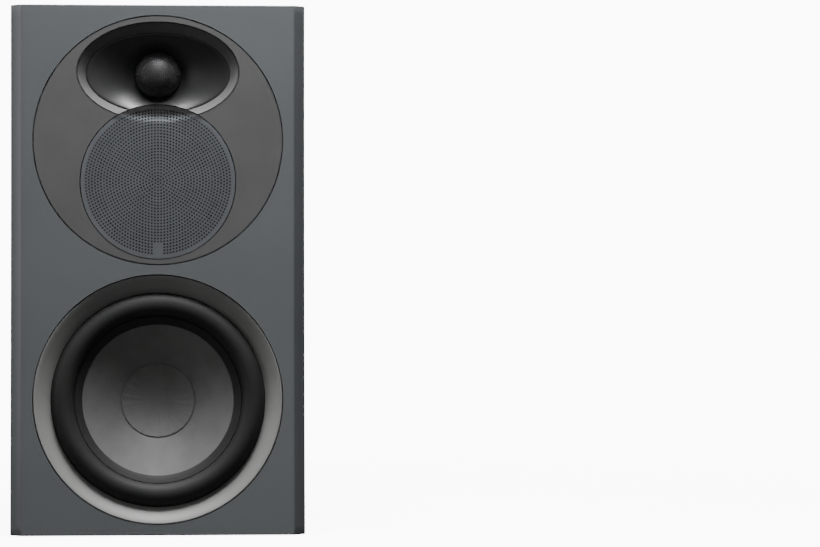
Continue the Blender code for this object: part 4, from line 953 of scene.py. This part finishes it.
def makeBallGrille():
    b = ball
    drop = math.sqrt(b["radius"] ** 2 - b["rim"] ** 2)
    turned = math.degrees(math.acos(drop / b["radius"]))
    centre = -drop - upper["throatDepth"]
    foot = -upper["throatDepth"] - b["foot"]
    outer = bend((0, centre), (b["radius"],) * 2, 90, 90 - turned, 26)
    inner = bend((0, centre), (b["radius"] - b["wall"],) * 2, 90 - turned, 90, 26)
    outline = outer + [(b["rim"], foot), (b["rim"] - b["wall"], foot)] + inner
    dome = turn("ballGrille", outline, 96, "poles")
    places = []
    for ring, around in ringPlaces(b["rings"]):
        lean = ring * b["pitch"] / b["radius"]
        places.append(Matrix.Translation((0, 0, centre)) @ Matrix.Rotation(around, 4, "Z")
                      @ Matrix.Rotation(lean, 4, "X") @ Matrix.Translation((0, 0, b["radius"])))
    carve(dome, pinField("ballHoles", places, b["hole"], 0.006, b["pinSides"]))
    settle(dome, facing(tweeterZ, waistY))
    finishPiece(dome, "grille", "root", ["tweeter_grille"], 35, materials["ballGrille"])


makePlate()
makeHorn()
makeMidrangeGrille()
makeBallGrille()
print("plate, horn and grilles made")


# soft parts of the midrange and the tweeter

midrange = {
    "seat": -0.0171, "flange": 0.0572, "roll": 0.0475, "rollHalf": 0.0040, "rollHeight": 0.0038, "lip": 0.0405,
    "rubber": 0.0006, "glue": 0.0003, "fixed": 0.0515, "free": 0.0435,
    "spider": (0.0135, 0.0388), "spiderDrop": 0.0186, "spiderWave": 0.0018, "spiderWaves": 5, "cloth": 0.0006,
    "spiderFixed": 0.0338, "spiderFree": 0.0145,
}
tweeter = {
    "drop": 0.0048,          # from the throat back to the foot of the silk
    "flange": 0.0166, "roll": 0.0149, "rollHalf": 0.0013, "silk": 0.0004, "fixed": 0.0162, "free": 0.0136,
}


def makeMidrangeSoftParts():
    m = midrange
    place = facing(midZ, waistY)
    flange, under = m["seat"] - m["glue"], m["seat"] - m["glue"] - m["rubber"]
    outline = [(m["flange"], flange)]
    outline += bend((m["roll"], flange), (m["rollHalf"], m["rollHeight"]), 0, 180, 14)
    outline += [(m["lip"], flange), (m["lip"], under)]
    outline += bend((m["roll"], under), (m["rollHalf"] - m["rubber"], m["rollHeight"]), 180, 0, 14)
    outline += [(m["flange"], under)]
    roll = turn("midrangeRoll", outline, 96)
    settle(roll, place)
    softPiece(roll, "rubber", ["midrange_surround"])
    waves = corrugations(*m["spider"], m["seat"] - m["spiderDrop"], m["spiderWave"], m["spiderWaves"], m["cloth"])
    spider = turn("midrangeCottonSpider", waves, 72)
    settle(spider, place)
    softPiece(spider, "cloth", ["midrange_spider"])


def makeSilkRoll():
    t = tweeter
    place = facing(tweeterZ, waistY)
    foot = -upper["throatDepth"] - t["drop"]
    front = foot + t["silk"]
    outline = [(t["flange"], front)]
    outline += bend((t["roll"], front), (t["rollHalf"], t["rollHalf"]), 0, 180, 8)
    outline += bend((t["roll"], foot), (t["rollHalf"] - t["silk"], t["rollHalf"]), 180, 0, 8)
    outline += [(t["flange"], foot)]
    silk = turn("silkRoll", outline, 64)
    settle(silk, place)
    softPiece(silk, "silk", ["tweeter_surround"])


makeMidrangeSoftParts()
makeSilkRoll()
print("soft parts made")


# port and terminals

def makePort():
    p = port
    curve = p["mouth"] - p["bore"]
    mouth = bend((p["mouth"], -curve), (curve, curve), 180, 90, 16)
    outline = [(p["bore"], -p["length"]), (p["bore"], -p["length"] / 2)] + mouth
    outline += [(p["flange"] - p["edge"], 0), (p["flange"], -p["edge"]), (p["flange"], -p["thickness"]),
                (p["mouth"] + p["mouthWall"], -p["thickness"]), (p["bore"] + p["wall"], -curve - p["wall"]),
                (p["bore"] + p["wall"], -p["length"])]
    tube = turn("portTube", outline, p["sides"])
    settle(tube, portPlace)
    finishPiece(tube, "black_plastic", "root", ["port_tube"])


def studAt(shade):
    # how far to the side this post stands
    start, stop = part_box(f"post_stud_{shade}")
    return (start[0] + stop[0]) / 2


def makeCup():
    c = cup
    halfX, halfY = c["half"]
    wall, floor = c["wall"], -c["depth"]
    body = roundedSlab("terminalCup", halfX + c["rim"], halfY + c["rim"], -c["thickness"], 0, c["corner"])
    pocket = roundedSlab("pocket", halfX, halfY, floor - wall, -0.001, c["pocketCorner"])
    hollow = roundedSlab("hollow", halfX - wall, halfY - wall, floor, 0.01, c["corner"])
    carve(body, pocket, "UNION")
    carve(body, hollow)
    # seen from behind, right is left
    places = [Matrix.Translation((-studAt(shade), 0, 0)) for shade in shades]
    top = floor + c["collarHeight"]
    for place in places:
        collar = turn("collar", [(c["collar"], floor - wall / 2), (c["collar"], top - c["collarEdge"]),
                                 (c["collar"] - c["collarEdge"], top)], 64, "capped")
        settle(collar, place)
        carve(body, collar, "UNION")
    for place in places:
        carveAt(body, rod("studHole", c["stud"], -0.03, 0.005, 48), place)
    for x, y in screwPlaces():
        hole = turn("screwHole", screw["hole"], 32, "capped")
        carveAt(body, hole, Matrix.Translation((x, y, 0)))
    roundEdges(body, c["edge"], 2, 40)
    settle(body, cupPlace)
    finishPiece(body, "black_plastic", "root", ["terminal_cup"], flatAlong="xyz")


screw = {
    "point": -0.012, "tip": -0.010, "neck": -0.0018, "shank": 0.0014,
    "head": 0.0031, "edge": 0.0002, "sink": 0.00005,
    "slotHalf": (0.0017, 0.00035), "slotDepth": 0.0014,
    "hole": [(0.0017, -0.02), (0.0017, -0.0021), (0.0036, 0.0002), (0.0036, 0.01)],  # (radius, level) in the cup
    "turn": 20,              # degrees between the slots of one screw and the next
}


def screwPlaces():
    inset = cup["rim"] / 2
    x, y = cup["half"][0] + inset, cup["half"][1] + inset
    return [(-x, -y), (-x, y), (x, -y), (x, y)]


def makeScrews():
    # countersunk screws with a cross recess
    t = screw
    longHalf, shortHalf = t["slotHalf"]
    for number, (x, y) in enumerate(screwPlaces(), 1):
        outline = [(0, t["point"]), (t["shank"], t["tip"]), (t["shank"], t["neck"]), (t["head"], -0.0003),
                   (t["head"], -0.0001), (t["head"] - t["edge"], -t["sink"]), (0, -t["sink"])]
        made = turn(f"cupScrew{number}", outline, 40, "poles")
        for angle in (t["turn"] * number, t["turn"] * number + 90):
            slot = block("slot", (-longHalf, -shortHalf, -t["slotDepth"]), (longHalf, shortHalf, 0.001))
            carveAt(made, slot, Matrix.Rotation(math.radians(angle), 4, "Z"))
        settle(made, cupPlace @ Matrix.Translation((x, y, 0)))
        finishPiece(made, "steel", "root", [f"cup_screw_{number}"])


shades = {"red": "#A0161A", "black": "#18181A"}
knob = {
    "start": -0.0079, "reach": 0.0127, "bore": 0.0033, "boreEdge": 0.0003,
    "grip": 0.00625, "gripEdge": 0.0004, "flutes": 18, "flute": 0.0006, "fluteOut": 0.0002,
    "groove": 0.0017, "grooveWidth": 0.0010, "grooveDepth": 0.0006,
    "end": 0.0075, "endDepth": 0.0036, "endEdge": (0.0006, 0.0007),
    "band": (0.0005, 0.0001), "bandWidth": 0.0009,    # polished ring in the groove: inward, outward and wide
    "insert": (0.0012, 0.0005), "insertEdge": 0.0002,  # coloured ring: inside the end, outside the bore
    "proud": 0.00005,
}
washer = {"radius": 0.0062, "thickness": 0.0015, "edge": 0.0002, "gap": 0.0003}


def makeWasher(shade, place):
    r, edge, thick, bore = washer["radius"], washer["edge"], washer["thickness"], knob["bore"]
    foot = -cup["depth"] + cup["collarHeight"] + washer["gap"]
    made = turn(f"washer_{shade}", [(r, foot + edge), (r, foot + thick - edge), (r - edge, foot + thick),
                                    (bore, foot + thick), (bore, foot), (r - edge, foot)], 64)
    settle(made, place)
    finishPiece(made, "chrome", f"{shade}_washer", [f"post_washer_{shade}"])


def makeKnob(shade, place):
    k = knob
    start, stop, bore, grip, end, edge = k["start"], k["reach"], k["bore"], k["grip"], k["end"], k["gripEdge"]
    low, high, deep = k["groove"], k["groove"] + k["grooveWidth"], grip - k["grooveDepth"]
    foot, (inward, down) = stop - k["endDepth"], k["endEdge"]
    outline = [(bore, start), (grip - edge, start), (grip, start + edge), (grip, low), (deep, low), (deep, high),
               (grip, high), (grip, foot), (end - 0.0002, foot + edge), (end, foot + down), (end, stop - down),
               (end - inward, stop), (bore + k["boreEdge"], stop), (bore, stop - k["boreEdge"])]
    body = turn(f"knob_{shade}", outline, 72)
    places = []
    for i in range(k["flutes"]):
        around = Matrix.Rotation(2 * math.pi * i / k["flutes"], 4, "Z")
        places.append(around @ Matrix.Translation((grip + k["fluteOut"], 0, (start + low) / 2 - 0.0003)))
    carve(body, pinField("flutes", places, k["flute"], low - start - 0.0022, 10))
    settle(body, place)
    finishPiece(body, "black_plastic", f"{shade}_knob", [f"post_knob_{shade}"])


def makeKnobTrim(shade, hexCode, place):
    k = knob
    low = k["groove"] + k["proud"]
    high, inner, outer = low + k["bandWidth"], k["grip"] - k["band"][0], k["grip"] + k["band"][1]
    band = turn(f"band_{shade}", [(inner, low), (outer, low), (outer, high), (inner, high)], 72)
    settle(band, place)
    finishPiece(band, "chrome", f"{shade}_knob", [])
    edge, top = k["insertEdge"], k["reach"] + k["proud"]
    outer, inner = k["end"] - k["insert"][0], k["bore"] + k["insert"][1]
    insert = turn(f"insert_{shade}", [(outer, k["reach"] - edge), (outer - edge, top), (inner + edge, top),
                                      (inner, k["reach"] - edge)], 72)
    settle(insert, place)
    # moulded ABS ring, glossier than the knob, in the colour that marks the terminal
    tint = grained(f"{shade} ABS", hexCode, hexCode, (0.3, 0.4), 0.6, 0.000006)
    finishPiece(insert, "black_plastic", f"{shade}_knob", [], material=tint)


makePort()
makeCup()
makeScrews()
for shade, hexCode in shades.items():
    postPlace = facing(baseZ + cup["height"], backY, rear=True, x=studAt(shade))
    makeWasher(shade, postPlace)
    makeKnob(shade, postPlace)
    makeKnobTrim(shade, hexCode, postPlace)
print("back made")


# wadding

batting = {"inset": 0.003, "cuts": 3, "levels": 3, "lumpSize": 0.018, "lumpHeight": 0.005}


def makeWadding():
    # a soft batt that bulges between its edges
    b = batting
    lowCorner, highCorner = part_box("damping_wadding")
    batt = block("wadding", [v + b["inset"] for v in lowCorner], [v - b["inset"] for v in highCorner])
    startEditing(batt)
    bpy.ops.mesh.select_all(action="SELECT")
    bpy.ops.mesh.subdivide(number_cuts=b["cuts"])
    stopEditing()
    applyModifier(batt, "SUBSURF", levels=b["levels"], render_levels=b["levels"])
    lumps = bpy.data.textures.new("lumps", "CLOUDS")
    lumps.noise_scale = b["lumpSize"]
    applyModifier(batt, "DISPLACE", texture=lumps, strength=b["lumpHeight"], mid_level=0.5)
    finishPiece(batt, "wadding", "root", ["damping_wadding"], 60)


makeWadding()

for mesh in list(bpy.data.meshes):
    if not mesh.users:
        bpy.data.meshes.remove(mesh)
